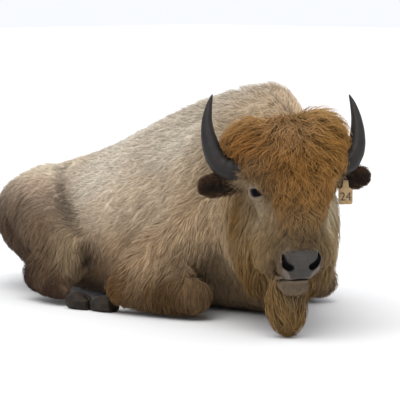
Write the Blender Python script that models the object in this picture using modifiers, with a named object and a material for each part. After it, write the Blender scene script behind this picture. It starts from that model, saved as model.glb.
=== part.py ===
"""A life-size bison resting on its chest, with its legs folded and its head turned to its right.

Metres, +Z up. The trunk lies along X with the rump at -X, and the animal's right side faces -Y.
Soft masses are fused from lofts and rounded muscles, out to the tips of the coat, and then parted
from their neighbours by a thin gap, so that every part is a closed solid of its own.
"""

import math

import bmesh
import bpy
from mathutils import Matrix, Vector

# Driving dimensions. WITHERS is the origin while modelling: the floor right under the hump's top.
HUMP_TOP = 0.86          # height of the lying animal at the hump, over the coat
HEAD_POLL = Vector((0.507, -0.427, 0.612))    # midpoint between the horn bases
HEAD_YAW = math.radians(-37)       # heading of the face, from +X
HEAD_PITCH = math.radians(49)      # how far the face slopes down from level
HEAD_ROLL = math.radians(2.5)
EYE_PLACE = (0.150, 0.137, 0.024)  # along the face, to the side, out of the forehead
EYE_RADIUS = 0.0255
EYE_SUNK = 0.006         # how much deeper than EYE_PLACE the ball's centre lies
GAP = 0.0004             # clearance between neighbouring solids
CUT_GAP = GAP * 1.3      # growth of a cutter, so that rounding never closes the clearance
FLOOR_DEPTH = 0.2        # thickness of the slab that trims everything flat at z = 0
BIG = 10 ** 7            # a triangle count that thins nothing out
FLAT_ANGLE = math.radians(0.6)       # faces that meet flatter than this become one

COAT_COLOUR = (0.55, 0.42, 0.27)
FORELOCK_COLOUR = (0.42, 0.22, 0.08)
HORN_COLOUR = (0.06, 0.055, 0.055)
HOOF_COLOUR = (0.05, 0.045, 0.04)
EYE_COLOUR = (0.012, 0.008, 0.008)
EAR_COLOUR = (0.10, 0.05, 0.03)
TAG_COLOUR = (0.72, 0.52, 0.22)

BOTH_SIDES = (("right", -1), ("left", 1))

# ---------------------------------------------------------------- scene and frames


def clear_scene():
    for old in list(bpy.data.objects):
        bpy.data.objects.remove(old)


def material(name, colour, roughness):
    made = bpy.data.materials.new(name)
    made.use_nodes = True
    shader = made.node_tree.nodes["Principled BSDF"]
    shader.inputs["Base Color"].default_value = (*colour, 1)
    shader.inputs["Roughness"].default_value = roughness
    shader.inputs["Metallic"].default_value = 0.0
    return made


def head_matrix():
    """Carries head coordinates (along the face, to the left, out of the forehead) to the world."""
    heading = Vector((math.cos(HEAD_YAW), math.sin(HEAD_YAW), 0))
    up = Vector((0, 0, 1))
    left = up.cross(heading)
    along = heading * math.cos(HEAD_PITCH) - up * math.sin(HEAD_PITCH)
    out = heading * math.sin(HEAD_PITCH) + up * math.cos(HEAD_PITCH)
    axes = Matrix((along, left, out)).transposed()
    tilt = Matrix.Rotation(HEAD_ROLL, 3, heading)
    return Matrix.Translation(HEAD_POLL) @ (tilt @ axes).to_4x4()


# ---------------------------------------------------------------- shapes


def new_object(name, bm):
    bmesh.ops.recalc_face_normals(bm, faces=bm.faces)
    mesh = bpy.data.meshes.new(name)
    bm.to_mesh(mesh)
    bm.free()
    made = bpy.data.objects.new(name, mesh)
    bpy.context.scene.collection.objects.link(made)
    return made


def evaluated(obj):
    """Replaces the object's mesh with what its modifiers make of it."""
    graph = bpy.context.evaluated_depsgraph_get()
    mesh = bpy.data.meshes.new_from_object(obj.evaluated_get(graph), depsgraph=graph)
    obj.modifiers.clear()
    obj.data = mesh
    return obj


def discard(*objects):
    for obj in objects:
        bpy.data.objects.remove(obj)


def soften(obj, levels):
    if levels:
        smooth = obj.modifiers.new("soften", "SUBSURF")
        smooth.levels = smooth.render_levels = levels
        evaluated(obj)
    return obj


def power(value, exponent):
    return math.copysign(abs(value) ** exponent, value)


def loft(name, sections, levels=1, points=12):
    """A closed body through sections, each (centre, side, up, half width, rise, drop, crown, keel).

    Crown and keel shape the upper and lower half: 1 is an ellipse, more is a ridge, less is boxy."""
    bm = bmesh.new()
    rings = []
    for centre, side, up, half_width, rise, drop, crown, keel in sections:
        ring = []
        for k in range(points):
            angle = 2 * math.pi * (k + 0.5) / points
            across, high = math.sin(angle), math.cos(angle)
            height = rise if high > 0 else drop
            exponent = crown if high > 0 else keel
            place = centre + side * (half_width * power(across, exponent)) + up * (height * high)
            ring.append(bm.verts.new(place))
        rings.append(ring)
    for first, second in zip(rings, rings[1:]):
        for k in range(points):
            after = (k + 1) % points
            bm.faces.new((first[k], first[after], second[after], second[k]))
    bm.faces.new(rings[0])
    bm.faces.new(rings[-1])
    return soften(new_object(name, bm), levels)


def limb(name, joints, levels=1, points=8):
    """A round limb through joints, each (place, radius), with rounded ends."""
    places = [Vector(place) for place, _ in joints]
    sections = []
    for k, (_, radius) in enumerate(joints):
        before, after = places[max(k - 1, 0)], places[min(k + 1, len(places) - 1)]
        way = (after - before).normalized()
        side = way.cross(Vector((0, 0, 1))).normalized() if abs(way.z) < 0.98 else Vector((0, 1, 0))
        up = side.cross(way)
        ends = {0: -0.55, len(joints) - 1: 0.55}
        if k in ends:
            cap = (places[k] + way * radius * ends[k], side, up, *[radius * 0.62] * 3, 1, 1)
        ring = (places[k], side, up, radius, radius, radius, 1, 1)
        sections += [cap, ring] if k == 0 else [ring, cap] if k == len(joints) - 1 else [ring]
    return loft(name, sections, levels, points)


def mass(name, centre, radii, frame=None, turn=0.0):
    """A rounded muscle or tuft: an ellipsoid, in the world or the frame given, turned in its own plan."""
    bm = bmesh.new()
    shape = Matrix.Translation(centre) @ Matrix.Rotation(turn, 4, "Z") @ Matrix.Diagonal((*radii, 1))
    bmesh.ops.create_icosphere(bm, subdivisions=3, radius=1, matrix=(frame or Matrix()) @ shape)
    return new_object(name, bm)


def count_triangles(obj):
    obj.data.calc_loop_triangles()
    return len(obj.data.loop_triangles)


def thin_out(obj, triangles):
    """Brings the mesh down to about this many triangles."""
    share = triangles / count_triangles(obj)
    if share < 1:
        fewer = obj.modifiers.new("fewer", "DECIMATE")
        fewer.ratio = share
        fewer.use_collapse_triangulate = True
        evaluated(obj)
    return obj


def fuse(name, pieces, voxel, triangles, rounds=6):
    """Joins overlapping pieces into one smooth closed body of about this many triangles."""
    bm = bmesh.new()
    for piece in pieces:
        bm.from_mesh(piece.data)
    discard(*pieces)
    body = new_object(name, bm)
    grown = body.modifiers.new("grown", "REMESH")
    grown.mode = "VOXEL"
    grown.voxel_size = voxel
    relaxed = body.modifiers.new("relaxed", "SMOOTH")
    relaxed.factor, relaxed.iterations = 0.5, rounds
    return thin_out(evaluated(body), triangles)


def combine(obj, other, operation):
    change = obj.modifiers.new("change", "BOOLEAN")
    change.operation, change.object, change.use_self = operation, other, True
    return evaluated(obj)


def clear_of(obj, *neighbours):
    """Cuts the neighbours out of the object, each grown by the gap."""
    for neighbour in neighbours:
        grown = inflated(neighbour, CUT_GAP)
        combine(obj, grown, "DIFFERENCE")
        discard(grown)
    return keep_largest(obj)


def near(first, second):
    """Whether the boxes round two parts touch."""
    spans = []
    for obj in (first, second):
        corners = [vertex.co for vertex in obj.data.vertices]
        spans.append([(min(c[k] for c in corners), max(c[k] for c in corners)) for k in range(3)])
    return all(a[0] < b[1] + GAP and b[0] < a[1] + GAP for a, b in zip(*spans))


def settle(parts):
    """Clears each part of those before it in the list, so that no two of them overlap."""
    for k, part in enumerate(parts):
        clear_of(part, *[other for other in parts[:k] if near(part, other)])


def keep_largest(obj):
    """Drops the chips that a cut leaves, so that one body stays."""
    bm = bmesh.new()
    bm.from_mesh(obj.data)
    bmesh.ops.remove_doubles(bm, verts=bm.verts, dist=1e-6)
    left, islands = set(bm.verts), []
    while left:
        found, todo = set(), [left.pop()]
        while todo:
            vertex = todo.pop()
            found.add(vertex)
            for edge in vertex.link_edges:
                other = edge.other_vert(vertex)
                if other in left:
                    left.discard(other)
                    todo.append(other)
        islands.append(found)
    islands.sort(key=len)
    for chips in islands[:-1]:
        bmesh.ops.delete(bm, geom=list(chips), context="VERTS")
    bmesh.ops.dissolve_limit(bm, angle_limit=FLAT_ANGLE, verts=bm.verts, edges=bm.edges)
    bmesh.ops.triangulate(bm, faces=bm.faces)
    bm.to_mesh(obj.data)
    bm.free()
    return obj


def box(name, low, high, frame=None):
    low, high = Vector(low), Vector(high)
    bm = bmesh.new()
    size = Matrix.Diagonal((*(high - low), 1))
    place = Matrix.Translation((low + high) / 2)
    bmesh.ops.create_cube(bm, size=1, matrix=(frame or Matrix()) @ place @ size)
    return new_object(name, bm)


def stand_flat(obj):
    """Trims what lies under the floor's level, which leaves a flat to rest on."""
    floor = box("floor", (-3, -3, -FLOOR_DEPTH), (3, 3, 0))
    combine(obj, floor, "DIFFERENCE")
    discard(floor)
    return keep_largest(obj)


# ---------------------------------------------------------------- trunk and neck

SIDE, UP = Vector((0, 1, 0)), Vector((0, 0, 1))

# Along the back: place, to the left, top of the coat, half width, widest height, bottom, ridge.
TRUNK_SECTIONS = (
    (0.36, -0.16, 0.60, 0.12, 0.34, 0.12, 1.0),
    (0.28, -0.13, 0.75, 0.17, 0.34, 0.03, 1.1),
    (0.19, -0.07, 0.880, 0.235, 0.33, -0.02, 1.3),
    (0.07, -0.03, 0.912, 0.30, 0.32, -0.03, 1.4),
    (-0.09, 0.0, 0.886, 0.355, 0.30, -0.03, 1.35),
    (-0.28, 0.0, 0.830, 0.385, 0.29, -0.03, 1.2),
    (-0.46, 0.0, 0.757, 0.395, 0.28, -0.03, 1.05),
    (-0.63, 0.0, 0.669, 0.40, 0.27, -0.03, 1.0),
    (-0.80, 0.0, 0.599, 0.385, 0.27, -0.03, 0.95),
    (-0.95, 0.0, 0.560, 0.355, 0.27, -0.02, 0.95),
    (-1.08, 0.0, 0.528, 0.325, 0.26, 0.0, 0.95),
    (-1.20, 0.0, 0.482, 0.28, 0.26, 0.04, 1.0),
    (-1.31, 0.0, 0.41, 0.20, 0.26, 0.11, 1.0),
    (-1.38, 0.0, 0.34, 0.10, 0.27, 0.20, 1.0),
)

# From the withers to the back of the skull: centre, half width, rise, drop, crown, keel.
NECK_SECTIONS = (
    ((0.01, -0.06, 0.50), 0.24, 0.31, 0.36, 1.2, 1.0),
    ((0.15, -0.15, 0.46), 0.235, 0.315, 0.38, 1.2, 1.0),
    ((0.29, -0.245, 0.42), 0.225, 0.28, 0.37, 1.1, 1.05),
    ((0.41, -0.325, 0.395), 0.225, 0.25, 0.36, 1.0, 1.1),
    ((0.51, -0.40, 0.375), 0.205, 0.215, 0.32, 1.0, 1.1),
    ((0.57, -0.445, 0.35), 0.145, 0.15, 0.24, 1.0, 1.1),
)


def make_trunk():
    """The barrel with the hump, shoulders and haunches, and the neck with its mane."""
    sections = []
    for along, left, top, half_width, widest, bottom, ridge in TRUNK_SECTIONS:
        centre = Vector((along, left, widest))
        sections.append((centre, SIDE, UP, half_width, top - widest, widest - bottom, ridge, 0.8))
    pieces = [loft("barrel", sections)]
    for _, side in BOTH_SIDES:
        right = side < 0
        shoulder = (-0.09, -0.225, 0.40) if right else (-0.17, 0.21, 0.38)
        pieces.append(mass("shoulder", shoulder, (0.24, 0.165, 0.32) if right else (0.20, 0.165, 0.30)))
        pieces.append(mass("haunch", (-1.0, side * 0.22, 0.30 if right else 0.28), (0.26, 0.16, 0.20)))
        hip = (-0.995, side * 0.19, 0.448 if right else 0.435)
        pieces.append(mass("hip_bone", hip, (0.13, 0.09, 0.075)))
    way = (Vector(NECK_SECTIONS[-1][0]) - Vector(NECK_SECTIONS[0][0])).normalized()
    across = Vector((-way.y, way.x, 0)).normalized()
    pieces.append(loft("neck_form", [(Vector(c), across, UP, *shape) for c, *shape in NECK_SECTIONS]))
    for _, side in BOTH_SIDES:
        off = -0.095 if side < 0 else 0.07
        pieces.append(mass("mane", Vector((0.485, -0.385, 0.27)) + across * off, (0.12, 0.12, 0.17)))
    return pieces


# ---------------------------------------------------------------- legs

LEG_CUTTER_GROWTH = 0.012    # how far outside the leg its own cutter runs


def make_foreleg(side):
    """The joints of the upper arm, the folded forearm and the cannon under it, and the hoof's place."""
    right = side < 0
    flare = 0.05 if right else -0.02          # the right leg spreads a little further out
    shoulder = (0.06, -0.28, 0.40) if right else (-0.06, 0.22, 0.36)
    elbow = Vector((-0.26, side * (0.40 + flare), 0.115))
    knee = Vector((0.075 if right else 0.055, side * (0.315 + flare * 2), 0.085))
    heel = elbow + Vector((-0.045, side * 0.03, -0.045))
    fetlock = Vector((-0.29, side * (0.42 + flare), 0.048))
    limbs = [
        [(shoulder, 0.15 if right else 0.12), ((-0.12, side * 0.355, 0.27), 0.15), (elbow, 0.125)],
        [(heel, 0.09), (elbow, 0.12), ((elbow + knee) / 2, 0.118), (knee, 0.093)],
        [(knee + Vector((-0.03, 0, -0.03)), 0.055), (fetlock, 0.048)],
    ]
    return limbs, fetlock + Vector((-0.085, side * 0.012, 0)), Vector((-1, side * 0.12, 0))


def make_hindleg(side):
    """The joints of the thigh, the folded shank and the cannon along the floor, and the hoof's place."""
    right = side < 0
    stifle = Vector((-0.61, side * 0.385, 0.205 if right else 0.18))
    hock = Vector((-0.83 if right else -0.92, side * 0.44, 0.105))
    fetlock = Vector((-0.57 if right else -0.66, side * 0.49, 0.055))
    limbs = [
        [((-1.0, side * 0.25, 0.30), 0.16), ((-0.79, side * 0.325, 0.26), 0.15), (stifle, 0.12)],
        [(stifle + Vector((0, 0, -0.05)), 0.10), (hock, 0.085)],
        [(hock + Vector((0.01, 0, -0.02)), 0.075), (fetlock, 0.052)],
    ]
    return limbs, fetlock + Vector((0.085, side * 0.006, 0)), Vector((1, side * 0.08, 0))


def leg_cutter(name, limbs):
    """A coarse shape a little outside the leg's limbs: what it takes out of the body is the leg."""
    grown = [[(place, radius + LEG_CUTTER_GROWTH) for place, radius in joints] for joints in limbs]
    return fuse(name, [limb("grown", joints) for joints in grown], 0.03, 104, 4)


HOOF_SIZE = (0.105, 0.088, 0.07)     # length, width, height
HOOF_CLEFT = 0.008


def make_hoof(name, centre, way):
    """A cloven hoof laid on the floor: two claws with a cleft between them, narrowing to the tip."""
    turn = Matrix.Rotation(math.atan2(way.y, way.x), 4, "Z")
    frame = Matrix.Translation((centre.x, centre.y, HOOF_SIZE[2] / 2 - 0.004)) @ turn
    length, width, height = HOOF_SIZE
    claw = [
        (Vector((along * length, 0, 0)), SIDE, UP, width / 2 * wide, height / 2 * tall, height / 2, 0.8, 0.7)
        for along, wide, tall in ((-0.5, 0.8, 0.9), (-0.2, 1.0, 1.0), (0.2, 0.85, 0.75), (0.5, 0.45, 0.2))
    ]
    hoof = loft(name, claw, 0, 10)
    cleft = box("cleft", (0.1 * length, -HOOF_CLEFT / 2, -height), (length, HOOF_CLEFT / 2, height))
    combine(hoof, cleft, "DIFFERENCE")
    discard(cleft)
    hoof.data.transform(frame)
    return stand_flat(hoof)


# ---------------------------------------------------------------- tail

TAIL_ROUTE = (
    ((-1.30, 0.0, 0.355), 0.05), ((-1.40, 0.03, 0.325), 0.044), ((-1.455, 0.075, 0.22), 0.036),
    ((-1.46, 0.13, 0.10), 0.033), ((-1.43, 0.21, 0.042), 0.034),
)
TUFT_ROUTE = (
    ((-1.435, 0.20, 0.042), 0.030), ((-1.395, 0.29, 0.045), 0.052), ((-1.34, 0.355, 0.035), 0.046),
    ((-1.285, 0.40, 0.018), 0.018),
)


def make_tail():
    tail = fuse("tail", [limb("root", TAIL_ROUTE)], 0.009, 180, 3)
    tuft = fuse("tail_tuft", [limb("tuft", TUFT_ROUTE)], 0.009, 120, 3)
    return [stand_flat(tail), stand_flat(tuft)]


# ---------------------------------------------------------------- head, in its own frame

# Along the face: place, half width, top, bottom, crown, keel.
HEAD_SECTIONS = (
    (-0.13, 0.070, 0.010, -0.10, 1.0, 1.0),
    (-0.09, 0.115, 0.050, -0.15, 0.9, 0.9),
    (-0.02, 0.145, 0.078, -0.185, 0.8, 0.9),
    (0.06, 0.145, 0.086, -0.205, 0.8, 0.9),
    (0.14, 0.134, 0.080, -0.205, 0.8, 0.9),
    (0.21, 0.112, 0.070, -0.185, 0.85, 0.9),
    (0.28, 0.092, 0.062, -0.160, 0.9, 0.9),
    (0.345, 0.079, 0.055, -0.140, 0.85, 0.85),
    (0.395, 0.076, 0.050, -0.130, 0.75, 0.8),
    (0.432, 0.073, 0.032, -0.122, 0.7, 0.8),
    (0.460, 0.060, 0.008, -0.106, 0.75, 0.8),
    (0.474, 0.036, -0.012, -0.084, 0.9, 0.9),
)
NOSTRIL = ((0.456, 0.045, 0.012), (0.030, 0.013, 0.020))


def make_head(frame):
    sections = []
    for along, half_width, top, bottom, crown, keel in HEAD_SECTIONS:
        level = (top + bottom) / 2 + 0.02
        centre = Vector((along, 0, level))
        sections.append((centre, SIDE, UP, half_width, top - level, level - bottom, crown, keel))
    skull = loft("skull", sections, 2)
    skull.data.transform(frame)
    pieces = [skull]
    along, out, height = EYE_PLACE
    for _, side in BOTH_SIDES:
        pieces.append(mass("brow", (along - 0.022, side * (out - 0.012), height + 0.028),
                           (0.045, 0.024, 0.024), frame))
        pieces.append(mass("cheek_bone", (along + 0.03, side * (out - 0.022), height - 0.045),
                           (0.07, 0.022, 0.026), frame))
        pieces.append(mass("jaw_muscle", (0.05, side * 0.11, -0.10), (0.105, 0.05, 0.085), frame))
        pieces.append(mass("jaw_hair", (0.262, side * 0.092, -0.138), (0.125, 0.062, 0.098), frame))
        pieces.append(mass("temple", (0.02, side * 0.15, -0.03), (0.075, 0.055, 0.07), frame))
        pieces.append(mass("nostril_wing", (0.427, side * 0.053, 0.012), (0.038, 0.026, 0.032), frame))
        pieces.append(mass("lip", (0.427, side * 0.047, -0.042), (0.036, 0.030, 0.026), frame))
    pieces.append(mass("chin", (0.425, 0, -0.10), (0.044, 0.046, 0.036), frame))
    return pieces


def carve_nostrils(body, frame):
    for _, side in BOTH_SIDES:
        place, radii = NOSTRIL
        hole = mass("hole", (place[0], side * place[1], place[2]), radii, frame, side * 0.5)
        combine(body, thin_out(hole, 80), "DIFFERENCE")
        discard(hole)


# The horn's line: to the side, up, and forward from the poll's midpoint, with its radius.
HORN_LINES = (
    (-1, ((0.135, -0.020, 0.010, 0.043), (0.178, -0.020, 0.006, 0.043), (0.222, -0.006, 0.0, 0.0415),
          (0.253, 0.034, -0.006, 0.0350), (0.270, 0.088, -0.018, 0.0275), (0.275, 0.145, -0.032, 0.0195),
          (0.267, 0.196, -0.045, 0.0125), (0.256, 0.232, -0.053, 0.0055))),
    (1, ((0.135, -0.024, 0.010, 0.043), (0.180, -0.024, 0.006, 0.043), (0.222, -0.012, 0.0, 0.041),
         (0.248, 0.026, -0.006, 0.0345), (0.258, 0.076, -0.018, 0.0270), (0.257, 0.130, -0.032, 0.0190),
         (0.248, 0.178, -0.045, 0.0120), (0.238, 0.208, -0.053, 0.0055))),
)


def make_horn(name, side, frame):
    heading = Vector((math.cos(HEAD_YAW), math.sin(HEAD_YAW), 0))
    left = (frame.to_3x3() @ Vector((0, side, 0))).normalized()
    joints = []
    for out, up, forward, radius in dict(HORN_LINES)[side]:
        joints.append((HEAD_POLL + left * out + UP * up + heading * forward, radius))
    return thin_out(limb(f"horn_{name}", joints, 1, 8), 170)


EAR_LENGTH, EAR_WIDTH, EAR_THICKNESS = 0.165, 0.108, 0.024
# From the root to the tip: place, width and thickness, as shares of the ear's own.
EAR_SECTIONS = (
    (0.0, 0.5, 1.0), (0.2, 0.78, 1.2), (0.45, 1.0, 1.1),
    (0.7, 1.0, 0.95), (0.9, 0.72, 0.8), (1.0, 0.34, 0.5),
)
EAR_HOLLOW = (0.037, 0.023)      # half width and half depth of the ear's cup
TAG_THICKNESS = 0.003


def ear_frame(side, frame):
    """Where the ear grows: under and behind the horn, out to the side and a little down."""
    root = frame @ Vector((0.050, side * 0.155, -0.058))
    heading = Vector((math.cos(HEAD_YAW), math.sin(HEAD_YAW), 0))
    left = (frame.to_3x3() @ Vector((0, side, 0))).normalized()
    out = (left + heading * (-0.05 if side < 0 else -0.25) + UP * -0.03).normalized()
    face = heading + UP * -0.25 + left * 0.1
    face = (face - out * face.dot(out)).normalized()
    return Matrix.Translation(root) @ Matrix((out, out.cross(face) * -1, face)).transposed().to_4x4()


def make_ear(name, side, frame):
    """A leaf-shaped ear, cupped towards the front: a thick shell with a hollow scooped out of it."""
    sections = [
        (Vector((along * EAR_LENGTH, 0, 0)), SIDE, UP, EAR_WIDTH / 2 * wide,
         EAR_THICKNESS * thick * 0.8, EAR_THICKNESS * thick, 1, 1)
        for along, wide, thick in EAR_SECTIONS
    ]
    ear = loft("leaf", sections, 2, 10)
    cup = (EAR_LENGTH * 0.57, 0, EAR_THICKNESS * 1.05)
    hollow = mass("hollow", cup, (EAR_LENGTH * 0.34, *EAR_HOLLOW))
    combine(ear, hollow, "DIFFERENCE")
    discard(hollow)
    ear.data.transform(ear_frame(side, frame))
    return fuse(f"ear_{name}", [ear], 0.0042, 180, 2)


def make_tag(frame):
    """The moulded plate that hangs from the left ear on a short neck."""
    hang = ear_frame(1, frame) @ Vector((EAR_LENGTH * 0.30, -0.012, 0.028))
    heading = Vector((math.cos(HEAD_YAW), math.sin(HEAD_YAW), 0))
    across = heading.cross(UP).normalized() * -1
    face = (heading + across * 0.1).normalized()
    across = UP.cross(face).normalized()
    bm = bmesh.new()
    outline = ((-0.009, 0.012), (0.009, 0.012), (0.012, -0.012), (0.026, -0.022), (0.026, -0.068),
               (0.021, -0.073), (-0.021, -0.073), (-0.026, -0.068), (-0.026, -0.022), (-0.012, -0.012))
    plate = bm.faces.new([bm.verts.new((x, z, 0)) for x, z in outline])
    grown = bmesh.ops.extrude_face_region(bm, geom=[plate], use_keep_orig=True)["geom"]
    raised = [item for item in grown if isinstance(item, bmesh.types.BMVert)]
    bmesh.ops.translate(bm, verts=raised, vec=(0, 0, TAG_THICKNESS))
    tag = new_object("ear_tag", bm)
    tag.data.transform(Matrix.Translation(hang) @ Matrix((across, UP, face)).transposed().to_4x4())
    return tag


def make_eye(name, side, frame):
    along, out, height = EYE_PLACE
    bm = bmesh.new()
    place = frame @ Matrix.Translation((along, side * (out - EYE_SUNK), height))
    turned = place @ Matrix.Rotation(math.pi / 2, 4, "X")
    bmesh.ops.create_uvsphere(bm, u_segments=10, v_segments=6, radius=EYE_RADIUS, matrix=turned)
    return new_object(f"eye_{name}", bm)


# ---------------------------------------------------------------- long hair that has a form of its own

FORELOCK_MASSES = (
    ((-0.050, 0.100, 0.060), (0.115, 0.137, 0.112)), ((-0.045, -0.095, 0.050), (0.110, 0.142, 0.100)),
    ((-0.010, 0.0, 0.065), (0.140, 0.165, 0.105)),
    ((0.065, 0.010, 0.078), (0.130, 0.195, 0.082)), ((0.150, 0.020, 0.082), (0.120, 0.145, 0.062)),
    ((0.245, 0.012, 0.076), (0.120, 0.098, 0.038)), ((0.325, 0.005, 0.060), (0.075, 0.070, 0.026)),
)
BEARD_LINE = (
    ((0.612, -0.507, 0.215), 0.080), ((0.606, -0.504, 0.15), 0.102), ((0.600, -0.500, 0.09), 0.100),
    ((0.597, -0.497, 0.048), 0.086), ((0.595, -0.495, 0.024), 0.064),
)
THROAT_LINE = (
    ((0.47, -0.39, 0.27), 0.14), ((0.50, -0.42, 0.18), 0.125), ((0.545, -0.455, 0.10), 0.085),
    ((0.575, -0.475, 0.055), 0.05),
)


def make_forelock(frame):
    pieces = [mass("lock", centre, radii, frame) for centre, radii in FORELOCK_MASSES]
    return fuse("forelock", pieces, 0.011, 450, 6)


def make_beard():
    locks = [limb("chin_hair", BEARD_LINE), limb("throat_hair", THROAT_LINE)]
    return stand_flat(fuse("beard", locks, 0.010, 250, 6))


# ---------------------------------------------------------------- parting the body

NECK_START = ((0.16, -0.12, 0.4), -22, 0)        # place, heading and lean of the plane behind the neck
HEAD_START = ((-0.075, 0.0, -0.02), (1.0, 0, 0.42))      # in head coordinates: place and normal


def half_space(place, normal, offset, size=3.0):
    """A big box on the side of a plane that its normal points to."""
    turn = normal.to_track_quat("Z", "Y").to_matrix().to_4x4()
    return box("half_space", (-size, -size, offset), (size, size, size), Matrix.Translation(place) @ turn)


def split(body, name, cutter, grown):
    """Takes what the cutter holds out of the body, as a new part, and what the grown cutter holds off it."""
    part = body.copy()
    part.data = body.data.copy()
    part.name = name
    bpy.context.scene.collection.objects.link(part)
    combine(part, cutter, "INTERSECT")
    combine(body, grown, "DIFFERENCE")
    keep_largest(body)
    return keep_largest(part)


def split_by_plane(body, name, place, normal):
    ahead, from_gap = half_space(place, normal, GAP / 2), half_space(place, normal, -GAP / 2)
    part = split(body, name, ahead, from_gap)
    discard(ahead, from_gap)
    return part


def inflated(obj, distance):
    """A copy of the object with every corner moved out along its normal."""
    bm = bmesh.new()
    bm.from_mesh(obj.data)
    bm.normal_update()
    for vertex in bm.verts:
        vertex.co += vertex.normal * distance
    return new_object("inflated", bm)


# ---------------------------------------------------------------- the whole animal


def finish(parts, finishes):
    """Gives each part its material, centres the model on the floor and gathers it in one collection."""
    home = bpy.data.collections.new("bison")
    bpy.context.scene.collection.children.link(home)
    corners = [vertex.co for part in parts for vertex in part.data.vertices]
    middle = [(min(c[k] for c in corners) + max(c[k] for c in corners)) / 2 for k in (0, 1)]
    for part in parts:
        part.data.transform(Matrix.Translation((-middle[0], -middle[1], 0)))
        part.data.materials.clear()
        slot = next(finish for start, finish in finishes if part.name.startswith(start))
        part.data.materials.append(slot)
        for holder in list(part.users_collection):
            holder.objects.unlink(part)
        home.objects.link(part)


def main():
    clear_scene()
    frame = head_matrix()
    legs = {}
    for name, side in BOTH_SIDES:
        legs[f"foreleg_{name}"] = (f"fore_hoof_{name}", *make_foreleg(side))
        legs[f"hindleg_{name}"] = (f"hind_hoof_{name}", *make_hindleg(side))
    limbs = [limb("limb", joints) for _, sets, _, _ in legs.values() for joints in sets]
    flesh = fuse("flesh", [*make_trunk(), *limbs], 0.014, BIG, 14)
    body = stand_flat(fuse("trunk", [flesh, *make_head(frame)], 0.0068, 2500, 3))
    carve_nostrils(body, frame)
    parts = [make_eye(name, side, frame) for name, side in BOTH_SIDES]
    parts += [make_horn(name, side, frame) for name, side in BOTH_SIDES]
    parts += [make_ear(name, side, frame) for name, side in BOTH_SIDES]
    parts += [make_forelock(frame), make_beard()]
    parts += [make_hoof(hoof, place, way) for hoof, _, place, way in legs.values()]
    settle(parts)
    clear_of(body, *parts)
    pieces = []
    for name, (_, sets, _, _) in legs.items():
        cutter = leg_cutter("cutter", sets)
        grown = inflated(cutter, CUT_GAP)
        pieces.append(split(body, name, cutter, grown))
        discard(cutter, grown)
    place, heading, lean = NECK_START
    way = Vector((math.cos(math.radians(heading)), math.sin(math.radians(heading)), lean))
    neck = split_by_plane(body, "neck", Vector(place), way)
    place, normal = HEAD_START
    head = split_by_plane(neck, "head", frame @ Vector(place), frame.to_3x3() @ Vector(normal))
    extras = [*make_tail(), make_tag(frame)]
    parts += [*pieces, neck, head, body]
    for extra in extras:
        clear_of(extra, *[other for other in parts if near(extra, other)])
        parts.append(extra)
    coat = material("coat", COAT_COLOUR, 0.9)
    hair = material("forelock_hair", FORELOCK_COLOUR, 0.85)
    finishes = (
        ("horn", material("horn", HORN_COLOUR, 0.4)),
        ("eye", material("eye", EYE_COLOUR, 0.08)),
        ("ear_tag", material("tag_plastic", TAG_COLOUR, 0.45)),
        ("ear", material("dark_ear_hair", EAR_COLOUR, 0.9)),
        ("fore_hoof", material("hoof", HOOF_COLOUR, 0.5)),
        ("hind_hoof", bpy.data.materials["hoof"]),
        ("forelock", hair), ("beard", hair),
        ("", coat),
    )
    finish(parts, finishes)


main()
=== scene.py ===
import math

import bmesh
import bpy
import numpy as np
from mathutils import Matrix, Vector
from mathutils.bvhtree import BVHTree
from mathutils.kdtree import KDTree


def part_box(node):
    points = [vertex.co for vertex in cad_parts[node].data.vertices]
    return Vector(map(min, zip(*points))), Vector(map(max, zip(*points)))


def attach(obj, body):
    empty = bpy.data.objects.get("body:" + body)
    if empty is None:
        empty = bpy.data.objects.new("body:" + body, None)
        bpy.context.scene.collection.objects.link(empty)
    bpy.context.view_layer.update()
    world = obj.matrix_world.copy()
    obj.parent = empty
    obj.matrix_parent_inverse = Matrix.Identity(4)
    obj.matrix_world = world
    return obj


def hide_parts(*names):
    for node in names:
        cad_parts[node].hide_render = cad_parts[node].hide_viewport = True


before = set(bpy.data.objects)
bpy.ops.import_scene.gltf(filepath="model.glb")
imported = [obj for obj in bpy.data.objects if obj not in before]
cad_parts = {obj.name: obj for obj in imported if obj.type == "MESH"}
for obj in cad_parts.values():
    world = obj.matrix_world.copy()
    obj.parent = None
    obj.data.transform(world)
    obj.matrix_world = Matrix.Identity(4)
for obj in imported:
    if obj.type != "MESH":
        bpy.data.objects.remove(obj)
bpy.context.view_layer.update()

# ---------------------------------------------------------------- where the animal lies
# The frame's own boxes give the places that everything is measured from. The withers point is on the
# floor under the hump; the head has its own axes: along the face, to the animal's left, out of the forehead.


def middle(node):
    low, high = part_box(node)
    return (Vector(low) + Vector(high)) / 2


FACE_HEADING, FACE_PITCH, FACE_ROLL = math.radians(-37), math.radians(49), math.radians(2.5)
EYE_ALONG, EYE_OUT, EYE_HEIGHT = 0.1475, 0.121, 0.0245
POLL_FROM_WITHERS = Vector((0.507, -0.427, 0.612))
UP = Vector((0, 0, 1))

heading = Vector((math.cos(FACE_HEADING), math.sin(FACE_HEADING), 0))
face_axes = Matrix((
    heading * math.cos(FACE_PITCH) - UP * math.sin(FACE_PITCH),
    UP.cross(heading),
    heading * math.sin(FACE_PITCH) + UP * math.cos(FACE_PITCH),
)).transposed()
face_axes = Matrix.Rotation(FACE_ROLL, 3, heading) @ face_axes
eyes_middle = (middle("eye_right") + middle("eye_left")) / 2
poll = eyes_middle - face_axes @ Vector((EYE_ALONG, 0, EYE_HEIGHT))
head_frame = Matrix.Translation(poll) @ face_axes.to_4x4()
withers = poll - POLL_FROM_WITHERS

# ---------------------------------------------------------------- the studio
# A pale paper floor and soft daylight from above. A long lens looks from ahead of the animal's right
# side, low down.

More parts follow.
